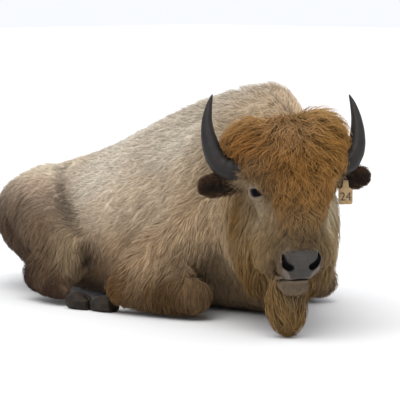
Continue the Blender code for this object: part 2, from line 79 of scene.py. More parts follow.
VIEW_AZIMUTH, VIEW_RISE, VIEW_DISTANCE = math.radians(-45), math.radians(5), 9.65
AIM = withers + Vector((-0.1728, -0.1728, 0.4147))
LENS_WIDTHS = 6.4125      # focal length in widths of the frame

lens = bpy.data.cameras.new("camera")
lens.sensor_width = 36
lens.lens = LENS_WIDTHS * lens.sensor_width
camera = bpy.data.objects.new("camera", lens)
bpy.context.scene.collection.objects.link(camera)
towards = Vector((math.cos(VIEW_AZIMUTH) * math.cos(VIEW_RISE), math.sin(VIEW_AZIMUTH) * math.cos(VIEW_RISE),
                  math.sin(VIEW_RISE)))
camera.location = AIM + towards * VIEW_DISTANCE
camera.rotation_euler = (-towards).to_track_quat("-Z", "Y").to_euler()
bpy.context.scene.camera = camera


def new_piece(name, bm):
    mesh = bpy.data.meshes.new(name)
    bm.to_mesh(mesh)
    bm.free()
    piece = bpy.data.objects.new(name, mesh)
    bpy.context.scene.collection.objects.link(piece)
    return piece


def plain_material(name, colour, roughness):
    made = bpy.data.materials.new(name)
    made.use_nodes = True
    shader = made.node_tree.nodes["Principled BSDF"]
    shader.inputs["Base Color"].default_value = (*colour, 1)
    shader.inputs["Roughness"].default_value = roughness
    return made, shader


bm = bmesh.new()
bmesh.ops.create_grid(bm, x_segments=1, y_segments=1, size=40)
floor = new_piece("floor", bm)
floor_paper, _ = plain_material("floor_paper", (0.80, 0.80, 0.80), 0.9)
floor.data.materials.append(floor_paper)

lamp = bpy.data.lights.new("daylight", "SUN")
lamp.energy, lamp.angle, lamp.color = 1.9, math.radians(50), (1.0, 0.985, 0.96)
light = bpy.data.objects.new("daylight", lamp)
light.rotation_euler = Vector((0.35, -0.55, 1.0)).to_track_quat("Z", "Y").to_euler()
bpy.context.scene.collection.objects.link(light)
world = bpy.data.worlds.new("sky")
world.use_nodes = True
world.node_tree.nodes["Background"].inputs["Color"].default_value = (0.94, 0.96, 1.0, 1)
world.node_tree.nodes["Background"].inputs["Strength"].default_value = 1.0
bpy.context.scene.world = world
bpy.context.scene.view_settings.view_transform = "Standard"

# ---------------------------------------------------------------- skin
# One hide over the whole body, the head, the legs and the ears, with the cores of the forelock and the
# beard. The parts are grown together, and then the hide is sunk by the depth of the coat that it carries.

FLESH = ("trunk", "neck", "head", "tail", "tail_tuft", "forelock", "beard", "ear_right", "ear_left",
         "foreleg_right", "foreleg_left", "hindleg_right", "hindleg_left")
OVERLAP = 0.0012
HIDE_VOXEL = 0.0114


def copied(node, grow=0.0):
    """A merged copy of a CAD node's mesh, each corner moved out along its normal."""
    part = bmesh.new()
    part.from_mesh(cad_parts[node].data)
    bmesh.ops.remove_doubles(part, verts=part.verts, dist=1e-6)
    part.normal_update()
    for corner in part.verts:
        corner.co += corner.normal * grow
    return part


joined = bmesh.new()
for node in FLESH + ("eye_right", "eye_left"):
    part = copied(node, OVERLAP)
    held = bpy.data.meshes.new("held")
    part.to_mesh(held)
    part.free()
    joined.from_mesh(held)
    bpy.data.meshes.remove(held)
skin = new_piece("skin", joined)
grown = skin.modifiers.new("grown", "REMESH")
grown.mode, grown.voxel_size = "VOXEL", HIDE_VOXEL
relaxed = skin.modifiers.new("relaxed", "SMOOTH")
relaxed.factor, relaxed.iterations = 0.5, 4
hide = bpy.data.meshes.new_from_object(skin.evaluated_get(bpy.context.evaluated_depsgraph_get()))
skin.modifiers.clear()
skin.data = hide
# The eyelids and the muzzle need a closer mesh than the rest.
CLOSE_WORK = (
    ((0.43, -0.01, -0.05), 0.135, 3),
    ((0.150, -0.130, 0.030), 0.055, 3),
    ((0.150, 0.130, 0.030), 0.055, 3),
    ((0.152, -0.130, 0.030), 0.034, 1),
    ((0.152, 0.130, 0.030), 0.034, 1),
)
fine = bmesh.new()
fine.from_mesh(hide)
for place, reach, cuts in CLOSE_WORK:
    spot = head_frame @ Vector(place)
    inside = {corner for corner in fine.verts if (corner.co - spot).length < reach}
    chosen = [edge for edge in fine.edges if edge.verts[0] in inside and edge.verts[1] in inside]
    bmesh.ops.subdivide_edges(fine, edges=chosen, cuts=cuts, use_grid_fill=True)
fine.to_mesh(hide)
fine.free()


def numbers(collection, field, width, kind=np.float64):
    held = np.empty(len(collection) * width, kind)
    collection.foreach_get(field, held)
    return held.reshape(-1, width) if width > 1 else held


def unit(vectors):
    return vectors / np.maximum(np.linalg.norm(vectors, axis=-1, keepdims=True), 1e-9)


def bell(value, width):
    return np.exp(-(value / width) ** 2)


def smooth_step(value, low, high):
    share = np.clip((value - low) / (high - low), 0, 1)
    return share * share * (3 - 2 * share)


def in_head(points):
    """The points' places along the face, to the animal's left and out of the forehead, from the poll."""
    return (points - np.array(poll)) @ np.array(face_axes)


def from_withers(points):
    return points - np.array(withers)


# What each stretch of hide belongs to: the nearest part of the body.
shell, owner = bmesh.new(), []
for number, node in enumerate(FLESH):
    before = len(shell.faces)
    shell.from_mesh(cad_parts[node].data)
    owner += [number] * (len(shell.faces) - before)
shell_tree = BVHTree.FromBMesh(shell)
shell.free()
outer = numbers(hide.vertices, "co", 3)
part_of = np.array([owner[shell_tree.find_nearest(place)[2]] for place in outer])

face = in_head(outer)
chin_height = face @ (-0.766, 0, 0.643) + 0.393
chin_round = abs(face[:, 1] / 0.078) ** 3 + (chin_height / 0.062) ** 2
on_chin = (face[:, 0] > 0.35) & (chin_round < 1) & (chin_height < 0.012)
part_of[on_chin] = FLESH.index("head")

# The lie of the coat, as comb marks: place, flow, and in millimetres the length, depth, wave and width.
# Marks on the trunk and legs are measured from the withers, and each has its twin on the other side.
BODY_MARKS = (
    ((0.19, -0.07, 0.83), (-0.6, 0.2, 0.6), 56, 28.5, 6, 3.6),
    ((0.05, -0.02, 0.87), (-0.9, 0.1, 0.25), 54.4, 28.5, 6, 3.6),
    ((-0.12, 0.0, 0.85), (-1, 0, -0.1), 48, 24.7, 5, 3.6),
    ((-0.40, 0.0, 0.77), (-1, 0, -0.3), 40, 19, 4, 3.2),
    ((-0.80, 0.0, 0.59), (-1, 0, -0.3), 36.8, 17.1, 4, 3.2),
    ((-1.10, 0.0, 0.51), (-1, 0, -0.25), 36.8, 17.1, 4, 3.2),
    ((-1.33, 0.0, 0.38), (-0.6, 0, -0.8), 38.4, 17.1, 4, 3.2),
    ((0.10, -0.20, 0.74), (-0.7, -0.2, -0.6), 49.6, 24.7, 6, 3.6),
    ((-0.15, -0.22, 0.74), (-0.85, -0.2, -0.5), 41.6, 20.9, 5, 3.2),
    ((-0.50, -0.24, 0.60), (-0.9, -0.15, -0.45), 36.8, 17.1, 4, 3.2),
    ((-0.80, -0.26, 0.50), (-0.9, -0.1, -0.5), 36.8, 17.1, 4, 3.2),
    ((0.05, -0.36, 0.50), (-0.5, -0.2, -0.85), 48, 22.8, 6, 3.6),
    ((-0.20, -0.40, 0.48), (-0.75, -0.1, -0.65), 40, 19, 5, 3.2),
    ((-0.50, -0.40, 0.36), (-0.85, 0, -0.55), 36.8, 17.1, 5, 3.2),
    ((-0.75, -0.40, 0.36), (-0.8, 0, -0.6), 36.8, 17.1, 5, 3.2),
    ((-0.45, -0.38, 0.14), (-0.5, -0.1, -0.85), 70, 24, 7, 4),
    ((-0.97, -0.20, 0.51), (-0.75, -0.35, -0.5), 36.8, 17.1, 4, 3.2),
    ((-1.0, -0.36, 0.38), (-0.4, -0.1, -0.9), 40, 19, 5, 3.2),
    ((-0.82, -0.43, 0.27), (-0.15, -0.1, -1), 62, 22, 7, 3.6),
    ((-1.25, -0.20, 0.36), (-0.4, -0.2, -0.9), 40, 17.1, 5, 3.2),
    ((-1.15, -0.30, 0.18), (-0.2, 0.1, -1), 44, 17.1, 5, 3.6),
    ((0.06, -0.40, 0.38), (-0.35, -0.25, -0.9), 60, 24.7, 8, 4),
    ((-0.12, -0.50, 0.28), (-0.5, -0.1, -0.85), 60, 24.7, 8, 4),
    ((-0.30, -0.52, 0.12), (-0.7, -0.1, -0.65), 56, 22.8, 7, 4),
    ((-0.06, -0.54, 0.14), (-0.15, -0.25, -1), 62.4, 20.9, 8, 4),
    ((0.13, -0.46, 0.10), (0.35, -0.2, -0.9), 56, 19, 6, 4),
    ((-0.60, -0.46, 0.20), (0.1, -0.15, -1), 75, 24, 8, 3.8),
    ((-0.72, -0.50, 0.14), (0.0, -0.15, -1), 78, 22, 8, 3.8),
    ((-0.83, -0.52, 0.10), (-0.3, 0, -0.9), 62, 16, 6, 3.6),
    ((-0.66, -0.54, 0.06), (0.7, -0.1, -0.4), 25.6, 6.6, 3, 2.9),
    ((0.30, 0.0, 0.20), (0.3, 0, -1), 72, 28.5, 7, 4.3),
)
# The neck, with the mane that hangs from it; its right side and its left side are listed apart.
NECK_MARKS = (
    ((0.32, -0.24, 0.70), (-0.6, 0.4, 0.5), 71.2, 32, 6, 4.1),
    ((0.20, -0.36, 0.58), (-0.4, -0.25, -0.85), 76, 32, 7, 4.1),
    ((0.34, -0.50, 0.42), (-0.1, 0.0, -1), 95, 36, 7, 4.5),
    ((0.42, -0.54, 0.24), (0.05, 0.08, -1), 109.2, 38, 8, 4.5),
    ((0.46, -0.50, 0.08), (0.12, 0.1, -1), 104.5, 34, 8, 4.5),
    ((0.35, -0.08, 0.50), (-0.2, 0.2, -0.95), 85.5, 34, 7, 4.5),
    ((0.56, -0.24, 0.36), (0, 0.05, -1), 104.5, 34, 7, 4.5),
    ((0.58, -0.28, 0.20), (0, -0.05, -1), 109.2, 36, 8, 4.5),
    ((0.52, -0.36, 0.06), (0.05, -0.05, -1), 95, 32, 8, 4.5),
)
# The head, in its own axes, where (0.75, 0, -0.66) is straight down; each mark has its twin.
HEAD_MARKS = (
    ((-0.05, 0.13, -0.05), (0.3, 0.2, -0.9), 70, 20, 6, 4.5),
    ((0.10, 0.145, -0.09), (0.5, 0.1, -0.85), 70, 20, 6, 4.5),
    ((0.04, 0.13, 0.06), (0.6, 0.5, -0.5), 45, 12, 5, 4),
    ((0.20, 0.115, -0.06), (0.65, 0.05, -0.75), 62, 16, 5, 4),
    ((0.150, 0.140, 0.050), (0.3, 0.8, 0.2), 11, 3, 2, 2.2),
    ((0.120, 0.125, 0.060), (0.3, 0.6, 0.0), 17, 4, 2, 2.5),
    ((0.110, 0.140, 0.020), (0.2, 0.6, -0.6), 20, 5, 2, 2.5),
    ((0.155, 0.130, -0.01), (0.7, 0.3, -0.6), 20, 5, 2, 2.5),
    ((0.185, 0.115, 0.010), (0.8, 0.2, -0.4), 22, 5, 2, 2.5),
    ((0.180, 0.095, 0.055), (0.8, 0.3, -0.2), 24, 5, 2, 3),
    ((0.230, 0.105, -0.03), (0.75, 0.1, -0.6), 34, 8, 3, 3),
    ((0.400, 0.0, 0.035), (1, 0, -0.3), 16, 4, 2, 2.5),
    ((0.22, 0.095, 0.01), (0.85, 0.25, -0.45), 50, 12, 5, 3.2),
    ((0.27, 0.085, -0.02), (0.75, 0.25, -0.6), 70, 16, 6, 3.5),
    ((0.26, 0.05, 0.06), (1, 0.2, -0.1), 75, 15, 6, 3.5),
    ((0.33, 0.03, 0.060), (1, 0.15, -0.1), 52, 11, 5, 3.2),
    ((0.33, 0.08, -0.02), (0.75, 0.3, -0.6), 60, 13, 5, 3.2),
    ((0.37, 0.075, 0.0), (0.7, 0.3, -0.6), 34, 7, 3, 3),
    ((0.39, 0.075, -0.06), (0.5, 0.1, -0.8), 26, 5, 3, 3),
    ((0.43, 0.03, -0.12), (0.4, 0.0, -0.9), 30, 5, 3, 3),
    ((0.34, 0.06, -0.13), (0.7, 0.1, -0.7), 70, 16, 5, 4),
    ((0.20, 0.08, -0.18), (0.7, 0.1, -0.7), 95, 26, 6, 5),
    ((0.10, 0.16, -0.20), (0.75, 0.05, -0.66), 105, 30, 7, 5),
    ((0.0, 0.16, -0.22), (0.7, 0.05, -0.7), 105, 32, 7, 5),
)
FORELOCK_MARKS = (
    ((-0.06, 0.10, 0.15), (0.2, 0.9, 0.0), 85.5, 34, 9, 3.3),
    ((-0.04, 0.0, 0.16), (1, 0, 0.2), 80.8, 34, 8, 3.3),
    ((0.02, 0.17, 0.10), (0.5, 0.85, -0.3), 95, 36, 9, 3.3),
    ((0.05, 0.0, 0.155), (1, 0, 0.0), 90.2, 36, 8, 3.3),
    ((0.10, 0.12, 0.12), (0.85, 0.45, -0.2), 95, 34, 9, 3.3),
    ((0.18, 0.0, 0.14), (1, 0, -0.1), 90.2, 32, 8, 3.3),
    ((0.18, 0.10, 0.10), (0.95, 0.25, -0.3), 80.8, 26, 8, 3.3),
    ((0.345, 0.0, 0.07), (1, 0, -0.1), 34, 9, 5, 2.8),
    ((0.28, 0.0, 0.11), (1, 0, -0.15), 76, 20, 7, 3.1),
    ((0.28, 0.07, 0.08), (0.95, 0.15, -0.3), 66.5, 16, 7, 3.1),
    ((-0.11, 0.0, 0.13), (1, 0, 0.8), 76, 34, 7, 3.3),
    ((-0.16, 0.0, 0.06), (-0.9, 0.1, -0.3), 76, 34, 7, 3.3),
    ((-0.12, 0.13, 0.05), (-0.5, 0.8, -0.2), 85.5, 34, 8, 3.3),
)


def twins(marks):
    """Every mark that stands off the middle plane, again on the other side."""
    return marks + tuple((
        (place[0], -place[1], place[2]), (flow[0], -flow[1], flow[2]), *rest
    ) for place, flow, *rest in marks if place[1])


def combed(points, places, flows, sizes):
    """Each point's flow and sizes, as the mix of the marks round it."""
    apart = np.linalg.norm(points[:, None] - places, axis=2)
    weight = 1 / (apart ** 2 + 0.03 ** 2) ** 2
    weight /= weight.sum(1, keepdims=True)
    return weight @ flows, weight @ sizes


def mark_arrays(marks, turn=None):
    """The marks' places and flows in the frame, and their sizes in metres."""
    places = np.array([mark[0] for mark in marks])
    flows = unit(np.array([mark[1] for mark in marks], float))
    sizes = np.array([mark[2:] for mark in marks]) / 1000
    if turn is None:
        return places + np.array(withers), flows, sizes
    return places @ np.array(turn).T + np.array(poll), flows @ np.array(turn).T, sizes


body_comb = [np.concatenate(pair) for pair in zip(
    mark_arrays(twins(BODY_MARKS)), mark_arrays(NECK_MARKS), mark_arrays(twins(HEAD_MARKS), face_axes))]
flow, coat_size = combed(outer, *body_comb)
forelock_flow, forelock_size = combed(outer, *mark_arrays(twins(FORELOCK_MARKS), face_axes))
on = {node: part_of == number for number, node in enumerate(FLESH)}
flow[on["forelock"]], coat_size[on["forelock"]] = forelock_flow[on["forelock"]], forelock_size[on["forelock"]]
flow[on["beard"]], coat_size[on["beard"]] = (0.05, -0.04, -1), (0.13, 0.030, 0.008, 0.007)
EAR_ROOT, EAR_UP = np.array((0.050, 0.155, -0.062)), np.array((-0.755, 0, 0.656))
ear_height = (in_head(outer) - EAR_ROOT) @ EAR_UP
for name, side in (("right", -1), ("left", 1)):
    ear = on[f"ear_{name}"]
    fan = np.clip(ear_height[ear] / 0.045, -1, 1)[:, None]
    flow[ear] = ((0.30, side, -0.25) + EAR_UP * fan * 0.9) @ np.array(face_axes).T
    coat_size[ear] = (0.034, 0.0060, 0.003, 0.0026)
tail_route = np.array(((-1.30, 0.0, 0.36), (-1.42, 0.03, 0.32), (-1.46, 0.09, 0.17), (-1.455, 0.15, 0.07),
                       (-1.40, 0.28, 0.045), (-1.27, 0.41, 0.02))) + np.array(withers)
for node, sizes in (("tail", (0.045, 0.007, 0.003, 0.005)), ("tail_tuft", (0.13, 0.016, 0.008, 0.006))):
    places = outer[on[node]]
    step = np.argmin(np.linalg.norm(places[:, None] - (tail_route[1:] + tail_route[:-1]) / 2, axis=2), axis=1)
    flow[on[node]], coat_size[on[node]] = unit(np.diff(tail_route, axis=0))[step], sizes

# The marks' fields are softened over the hide, and the hide is sunk by the coat's depth.
edges = numbers(hide.edges, "vertices", 2, np.int32)


def softened(values, rounds):
    for _ in range(rounds):
        total, count = np.zeros_like(values), np.zeros(len(values))
        for near, far in ((0, 1), (1, 0)):
            np.add.at(total, edges[:, near], values[edges[:, far]])
            np.add.at(count, edges[:, near], 1)
        values = 0.5 * values + 0.5 * total / np.maximum(count, 1)[:, None]
    return values


normals = unit(softened(numbers(hide.vertices, "normal", 3), 6))
flow = softened(flow, 3)
coat_size = softened(coat_size, 6)

# Where the haunch folds over the flank, and the skin of the thigh is drawn up: place, depth, reach. The folds
# also shorten the hair, and the coat is darkened along them as painted shade.
FOLDS = (
    (((-0.95, -0.16, 0.51), (-0.86, -0.265, 0.449), (-0.782, -0.328, 0.387), (-0.679, -0.374, 0.334),
      (-0.60, -0.394, 0.273), (-0.57, -0.39, 0.212), (-0.569, -0.37, 0.14)), 0.060, 0.026),
    (((-0.93, -0.27, 0.43), (-0.895, -0.33, 0.39), (-0.892, -0.366, 0.35), (-0.92, -0.396, 0.296)),
     0.026, 0.018),
    (((-0.87, -0.30, 0.42), (-0.84, -0.36, 0.37), (-0.85, -0.40, 0.31)), 0.026, 0.016),
    (((-1.02, -0.24, 0.44), (-0.99, -0.33, 0.40), (-1.0, -0.39, 0.32)), 0.026, 0.017),
    (((-1.10, -0.20, 0.44), (-1.08, -0.30, 0.38), (-1.07, -0.36, 0.28), (-1.04, -0.38, 0.20)), 0.026, 0.015),
    (((-0.33, -0.42, 0.30), (-0.40, -0.40, 0.20), (-0.44, -0.38, 0.10)), 0.030, 0.026),
)
crease = np.zeros(len(outer))
for line, deep, reach in FOLDS:
    for side in (1, -1):
        route = np.array(line) * (1, side, 1) + np.array(withers)
        knots = np.linspace(0, len(line) - 1, 40)
        route = np.array([np.interp(knots, np.arange(len(line)), column) for column in route.T]).T
        apart = np.min([np.linalg.norm(outer - spot, axis=1) for spot in route], axis=0)
        crease = np.maximum(crease, deep * bell(apart, reach) * (1 if side > 0 else 0.7))
folded = np.clip(crease / 0.04, 0, 1)[:, None]
coat_size = coat_size * (1 - folded * (0.35, 0.5, 0, 0))
places = outer - normals * (coat_size[:, 1:2] + OVERLAP + crease[:, None])
sunk = softened(places, 3)
facing = unit(softened(normals, 2)) @ np.array(face_axes)
spots = in_head(sunk)

# The muzzle is shaped on a sheet that faces it: across (u), up (v) and out of it.
NOSE_MIDDLE, NOSE_TILT = np.array((0.440, 0.0, 0.011)), math.radians(50)
NOSE_OUT = np.array((math.cos(NOSE_TILT), 0, math.sin(NOSE_TILT)))
NOSE_UP = np.array((-math.sin(NOSE_TILT), 0, math.cos(NOSE_TILT)))
NOSE_SHIFT = -0.012
PAD_WIDTHS = ((-0.064, 0.032), (-0.050, 0.034), (-0.036, 0.040), (-0.024, 0.052), (-0.010, 0.062),
              (0.018, 0.066), (0.034, 0.058), (0.044, 0.036))
LIP_WIDTHS = ((-0.125, 0.044), (-0.100, 0.060), (-0.070, 0.072), (-0.040, 0.076), (0.000, 0.080),
              (0.030, 0.070), (0.046, 0.045))
NOSTRIL = ((0.059, 0.025, 0.0045), (0.058, 0.012, 0.0070), (0.053, -0.002, 0.0095), (0.044, -0.013, 0.0115),
           (0.034, -0.020, 0.0115))


def within(widths, low, high, u, v):
    """How far each place lies inside a shape that is given by its half widths, in metres."""
    heights, halves = np.array(widths).T
    return np.minimum(np.interp(v, heights, halves) - abs(u), np.minimum(v - low, high - v))


def muzzle_sheet(at):
    return at[:, 1], (at - NOSE_MIDDLE) @ NOSE_UP


def nostril_gap(u, v):
    """The distance outside the nostril's comma, negative inside it."""
    knots = np.linspace(0, len(NOSTRIL) - 1, 33)
    line = np.array([np.interp(knots, np.arange(len(NOSTRIL)), column) for column in np.array(NOSTRIL).T])
    return np.min([np.hypot(abs(u) - across, v - up) - reach for across, up, reach in line.T], axis=0)


u, v = muzzle_sheet(spots)
front = smooth_step(spots[:, 0], 0.345, 0.385) * smooth_step(facing @ NOSE_OUT, -0.15, 0.2) * on["head"]
in_pad = within(PAD_WIDTHS, -0.060, 0.044, u, v)
nostril = nostril_gap(u, v)
lip_line = v + 0.0645 + 0.009 * (u / 0.06) ** 2
mouth = bell(lip_line, 0.0036) * smooth_step(0.072 - abs(u), 0, 0.008)
# Past the corners of the lips, where the sheet makes no crease, the mouth line goes on as painted shade.
mouth_ends = bell(lip_line, 0.0034) * smooth_step(0.066 - abs(u), 0, 0.006)
mouth_ends = mouth_ends * smooth_step(spots[:, 0], 0.325, 0.34)
mouth_shade = np.maximum(mouth * front, mouth_ends * on["head"])
stand = (0.0030 * smooth_step(in_pad, -0.002, 0.004) - 0.0022 * bell(in_pad, 0.0022)
         - 0.026 * smooth_step(-nostril, -0.001, 0.006) + 0.0035 * bell(nostril - 0.006, 0.005)
         - 0.014 * mouth + 0.0035 * bell(lip_line - 0.010, 0.007) * (abs(u) < 0.066)
         + 0.0030 * bell(lip_line + 0.010, 0.006) * smooth_step(0.052 - abs(u), 0, 0.015)
         - 0.0016 * bell(u, 0.0024) * smooth_step(-v, 0.008, 0.02) * (v > -0.062)
         + 0.014 * bell(v + 0.096, 0.024) * bell(u, 0.054))
spots += NOSE_OUT * (stand * front)[:, None]
fullness = smooth_step(spots[:, 0], 0.34, 0.40) * bell(v + 0.030, 0.045)
spots[:, 1] *= 1 + 0.13 * fullness
spots[:, 1] += NOSE_SHIFT * smooth_step(spots[:, 0], 0.28, 0.40)

# Each eye lies in lids that stretch over the ball, open in an almond that points along the face.
EYE_SIZE = 0.0255
LID_OVER = 0.0028
ORBIT_BULGE = 0.012
LID_LONG, LID_UP, LID_DOWN = 0.0243, 0.0167, 0.0141


def eye_axes(side):
    """Out of the eye, along its opening and up, in the head's axes."""
    out = unit(np.array((0.50, side * 0.62, 0.60)))
    along = np.array((0.71, side * -0.70, 0.12))
    along = unit(along - out * (along @ out))
    return out, along, np.cross(along, out) * -side


lid_rim = np.full(len(spots), 1.0)
for side in (-1, 1):
    eye_place = np.array((EYE_ALONG, side * EYE_OUT, EYE_HEIGHT))
    out, along, up = eye_axes(side)
    bulge = bell(np.linalg.norm(spots - eye_place, axis=1), 0.040)
    spots += np.array((0.15, side, 0.1)) * (ORBIT_BULGE * bulge)[:, None]
    gap = spots - eye_place
    x, y, h = gap @ along, gap @ up, gap @ out
    reach = np.hypot(x, y)
    near = (reach < 0.055) & (h > -0.004) & (abs(spots[:, 1]) > 0.06)
    h = np.minimum(h, 0.014 + 0.9 * np.maximum(reach - 0.020, 0))
    dome = np.sqrt(np.maximum((EYE_SIZE + LID_OVER) ** 2 - reach ** 2, 0))
    y_open = y + 0.10 * x
    almond = 1 - np.maximum(abs(x) / LID_LONG, 0) ** 2
    opening = np.where(y_open > 0, LID_UP, LID_DOWN) * almond - abs(y_open)
    blend = 0.006
    raised = np.logaddexp(h / blend, np.where(reach < EYE_SIZE + LID_OVER, dome, -0.02) / blend) * blend
    creases = sum(0.0016 * bell(-opening - offset, 0.0018) for offset in (0.008, 0.015))
    raised -= creases * smooth_step(0.045 - reach, 0, 0.015)
    raised += 0.0012 * bell(opening, 0.0016)
    pocket = np.minimum(raised, dome - LID_OVER - 0.004) - 0.004
    target = np.where(opening > 0, raised + (pocket - raised) * smooth_step(opening, 0.0, 0.0022), raised)
    target = gap @ out + (target - gap @ out) * smooth_step(0.052 - reach, 0, 0.018)
    spots[near] += out * (target - gap @ out)[near, None]
    lid_rim[near] = np.minimum(lid_rim[near], abs(opening[near] + 0.0008))
    # Beside the lids the skin swells over the ball.
    from_ball = spots - eye_place
    distance = np.linalg.norm(from_ball, axis=1)
    cover = EYE_SIZE + LID_OVER
    swollen = cover + 0.35 * np.maximum(distance - cover * 0.75, 0)
    opened = near & (opening > -0.001) & (from_ball @ out > 0.25 * distance)
    beside = (distance < cover * 1.5) & ~opened & (distance < swollen)
    spots[beside] = eye_place + from_ball[beside] * (swollen / np.maximum(distance, 1e-4))[beside, None]
sunk = spots @ np.array(face_axes).T + np.array(poll)
sunk[:, 2] = np.maximum(sunk[:, 2], 0.001)
hide.vertices.foreach_set("co", sunk.ravel())
hide.update()

# The coat's colours (linear), as marks that fade into each other: measured from the withers, and on the head.
BODY_COLOURS = (
    ((0.15, 0.0, 0.84), (0.56, 0.43, 0.30)),
    ((0.0, 0.0, 0.86), (0.66, 0.56, 0.44)),
    ((-0.2, 0.0, 0.84), (0.707, 0.625, 0.498)),
    ((-0.6, 0.0, 0.68), (0.83, 0.78, 0.69)),
    ((-1.0, 0.0, 0.54), (0.80, 0.67, 0.53)),
    ((-1.3, 0.0, 0.40), (0.40, 0.29, 0.19)),
    ((0.10, -0.22, 0.74), (0.60, 0.47, 0.32)),
    ((-0.2, -0.28, 0.66), (0.76, 0.675, 0.55)),
    ((-0.6, -0.3, 0.52), (0.866, 0.77, 0.638)),
    ((0.1, -0.36, 0.52), (0.52, 0.40, 0.26)),
    ((-0.2, -0.42, 0.46), (0.682, 0.539, 0.385)),
    ((-0.5, -0.42, 0.38), (0.752, 0.616, 0.462)),
    ((-0.45, -0.42, 0.20), (0.62, 0.43, 0.255)),
    ((-0.5, -0.38, 0.08), (0.31, 0.18, 0.095)),
    ((-0.97, -0.2, 0.5), (0.9, 0.783, 0.608)),
    ((-0.93, -0.33, 0.45), (0.66, 0.50, 0.365)),
    # From here on, the marks low on the thigh, the rump and the belly darken towards the floor, to near black
    # by the ground: partly dirt and stains, partly painted shade.
    ((-0.95, -0.38, 0.36), (0.21, 0.145, 0.092)),
    ((-1.05, -0.36, 0.24), (0.125, 0.075, 0.045)),
    ((-0.8, -0.44, 0.24), (0.25, 0.16, 0.092)),
    ((-0.62, -0.44, 0.20), (0.34, 0.245, 0.145)),
    ((-0.70, -0.50, 0.16), (0.145, 0.086, 0.045)),
    ((-0.8, -0.48, 0.14), (0.046, 0.024, 0.013)),
    ((-1.25, -0.2, 0.28), (0.075, 0.038, 0.022)),
    ((-0.9, -0.48, 0.10), (0.042, 0.022, 0.012)),
    ((-0.65, -0.5, 0.08), (0.048, 0.021, 0.011)),
    ((-1.15, -0.3, 0.08), (0.12, 0.07, 0.04)),
    ((0.05, -0.42, 0.38), (0.55, 0.396, 0.242)),
    ((-0.12, -0.5, 0.26), (0.46, 0.32, 0.19)),
    ((-0.28, -0.52, 0.10), (0.145, 0.073, 0.023)),
    ((-0.04, -0.54, 0.10), (0.098, 0.049, 0.012)),
    ((0.14, -0.46, 0.08), (0.17, 0.10, 0.045)),
    ((0.3, 0.0, 0.2), (0.22, 0.13, 0.055)),
)
NECK_COLOURS = (
    ((0.30, -0.22, 0.70), (0.50, 0.36, 0.22)),
    ((0.22, -0.36, 0.56), (0.46, 0.32, 0.18)),
    ((0.34, -0.50, 0.44), (0.255, 0.135, 0.034)),
    ((0.42, -0.54, 0.24), (0.20, 0.102, 0.025)),
    ((0.46, -0.50, 0.08), (0.21, 0.118, 0.043)),
    ((0.5, -0.3, 0.2), (0.22, 0.125, 0.040)),
    ((0.62, -0.28, 0.36), (0.46, 0.33, 0.17)),
)
HEAD_COLOURS = (
    ((0.0, 0.14, -0.06), (0.36, 0.25, 0.13)),
    ((0.0, -0.14, -0.06), (0.30, 0.19, 0.09)),
    # The left cheek's marks, here and in the next line, are far lighter and greyer than the right cheek's:
    # partly the hair's paler tone, partly painted light falling on that cheek.
    ((0.12, 0.14, -0.08), (0.82, 0.71, 0.50)),
    ((0.22, 0.12, -0.06), (0.65, 0.53, 0.34)),
    ((0.12, -0.14, -0.08), (0.31, 0.21, 0.11)),
    ((0.20, 0.11, 0.02), (0.44, 0.32, 0.19)),
    ((0.20, -0.11, 0.02), (0.50, 0.39, 0.25)),
    ((0.15, -0.135, 0.055), (0.42, 0.34, 0.24)),
    ((0.145, -0.14, -0.01), (0.42, 0.33, 0.22)),
    ((0.30, 0.0, 0.06), (0.275, 0.172, 0.072)),
    ((0.24, 0.07, 0.04), (0.30, 0.185, 0.08)),
    ((0.24, -0.07, 0.04), (0.27, 0.165, 0.07)),
    ((0.30, 0.08, -0.04), (0.27, 0.175, 0.08)),
    ((0.37, 0.0, 0.06), (0.128, 0.086, 0.049)),
    ((0.35, 0.08, 0.03), (0.165, 0.114, 0.064)),
    ((0.35, -0.08, 0.03), (0.118, 0.077, 0.044)),
    ((0.40, 0.07, -0.05), (0.14, 0.10, 0.065)),
    ((0.43, 0.0, -0.12), (0.17, 0.13, 0.09)),
    ((0.30, 0.05, -0.16), (0.24, 0.145, 0.055)),
    ((0.26, 0.14, -0.14), (0.30, 0.19, 0.075)),
    ((0.15, 0.0, -0.26), (0.22, 0.13, 0.055)),
)
FORELOCK_COLOURS = (
    ((-0.06, 0.0, 0.16), (0.36, 0.21, 0.095)),
    ((-0.10, 0.11, 0.12), (0.41, 0.25, 0.095)),
    ((-0.10, -0.11, 0.11), (0.36, 0.205, 0.075)),
    ((-0.02, 0.12, 0.12), (0.305, 0.148, 0.032)),
    ((-0.02, -0.12, 0.12), (0.27, 0.112, 0.022)),
    ((0.10, 0.0, 0.15), (0.275, 0.125, 0.027)),
    ((0.20, 0.05, 0.12), (0.27, 0.14, 0.042)),
    ((0.20, -0.05, 0.12), (0.25, 0.125, 0.036)),
    ((0.28, 0.0, 0.09), (0.22, 0.127, 0.050)),
    ((0.35, 0.0, 0.07), (0.125, 0.082, 0.043)),
    ((0.07, -0.15, 0.08), (0.17, 0.105, 0.050)),
    ((0.13, -0.13, 0.07), (0.16, 0.10, 0.048)),
)
EAR_BROWN = (0.080, 0.040, 0.020)
BEARD_BROWN, EAR_BLACK, TUFT_BROWN = (0.185, 0.108, 0.038), (0.014, 0.009, 0.006), (0.16, 0.09, 0.045)


def spread(points, marks, turn=None):
    """Each point's colour, as the mix of the colour marks round it."""
    places = np.array([mark[0] for mark in marks])
    if turn is None:
        places = places + np.array(withers)
    else:
        places = places @ np.array(turn).T + np.array(poll)
    apart = np.linalg.norm(points[:, None] - places, axis=2)
    weight = 1 / (apart ** 2 + 0.05 ** 2) ** 2
    return weight @ np.array([mark[1] for mark in marks]), weight.sum(1, keepdims=True)


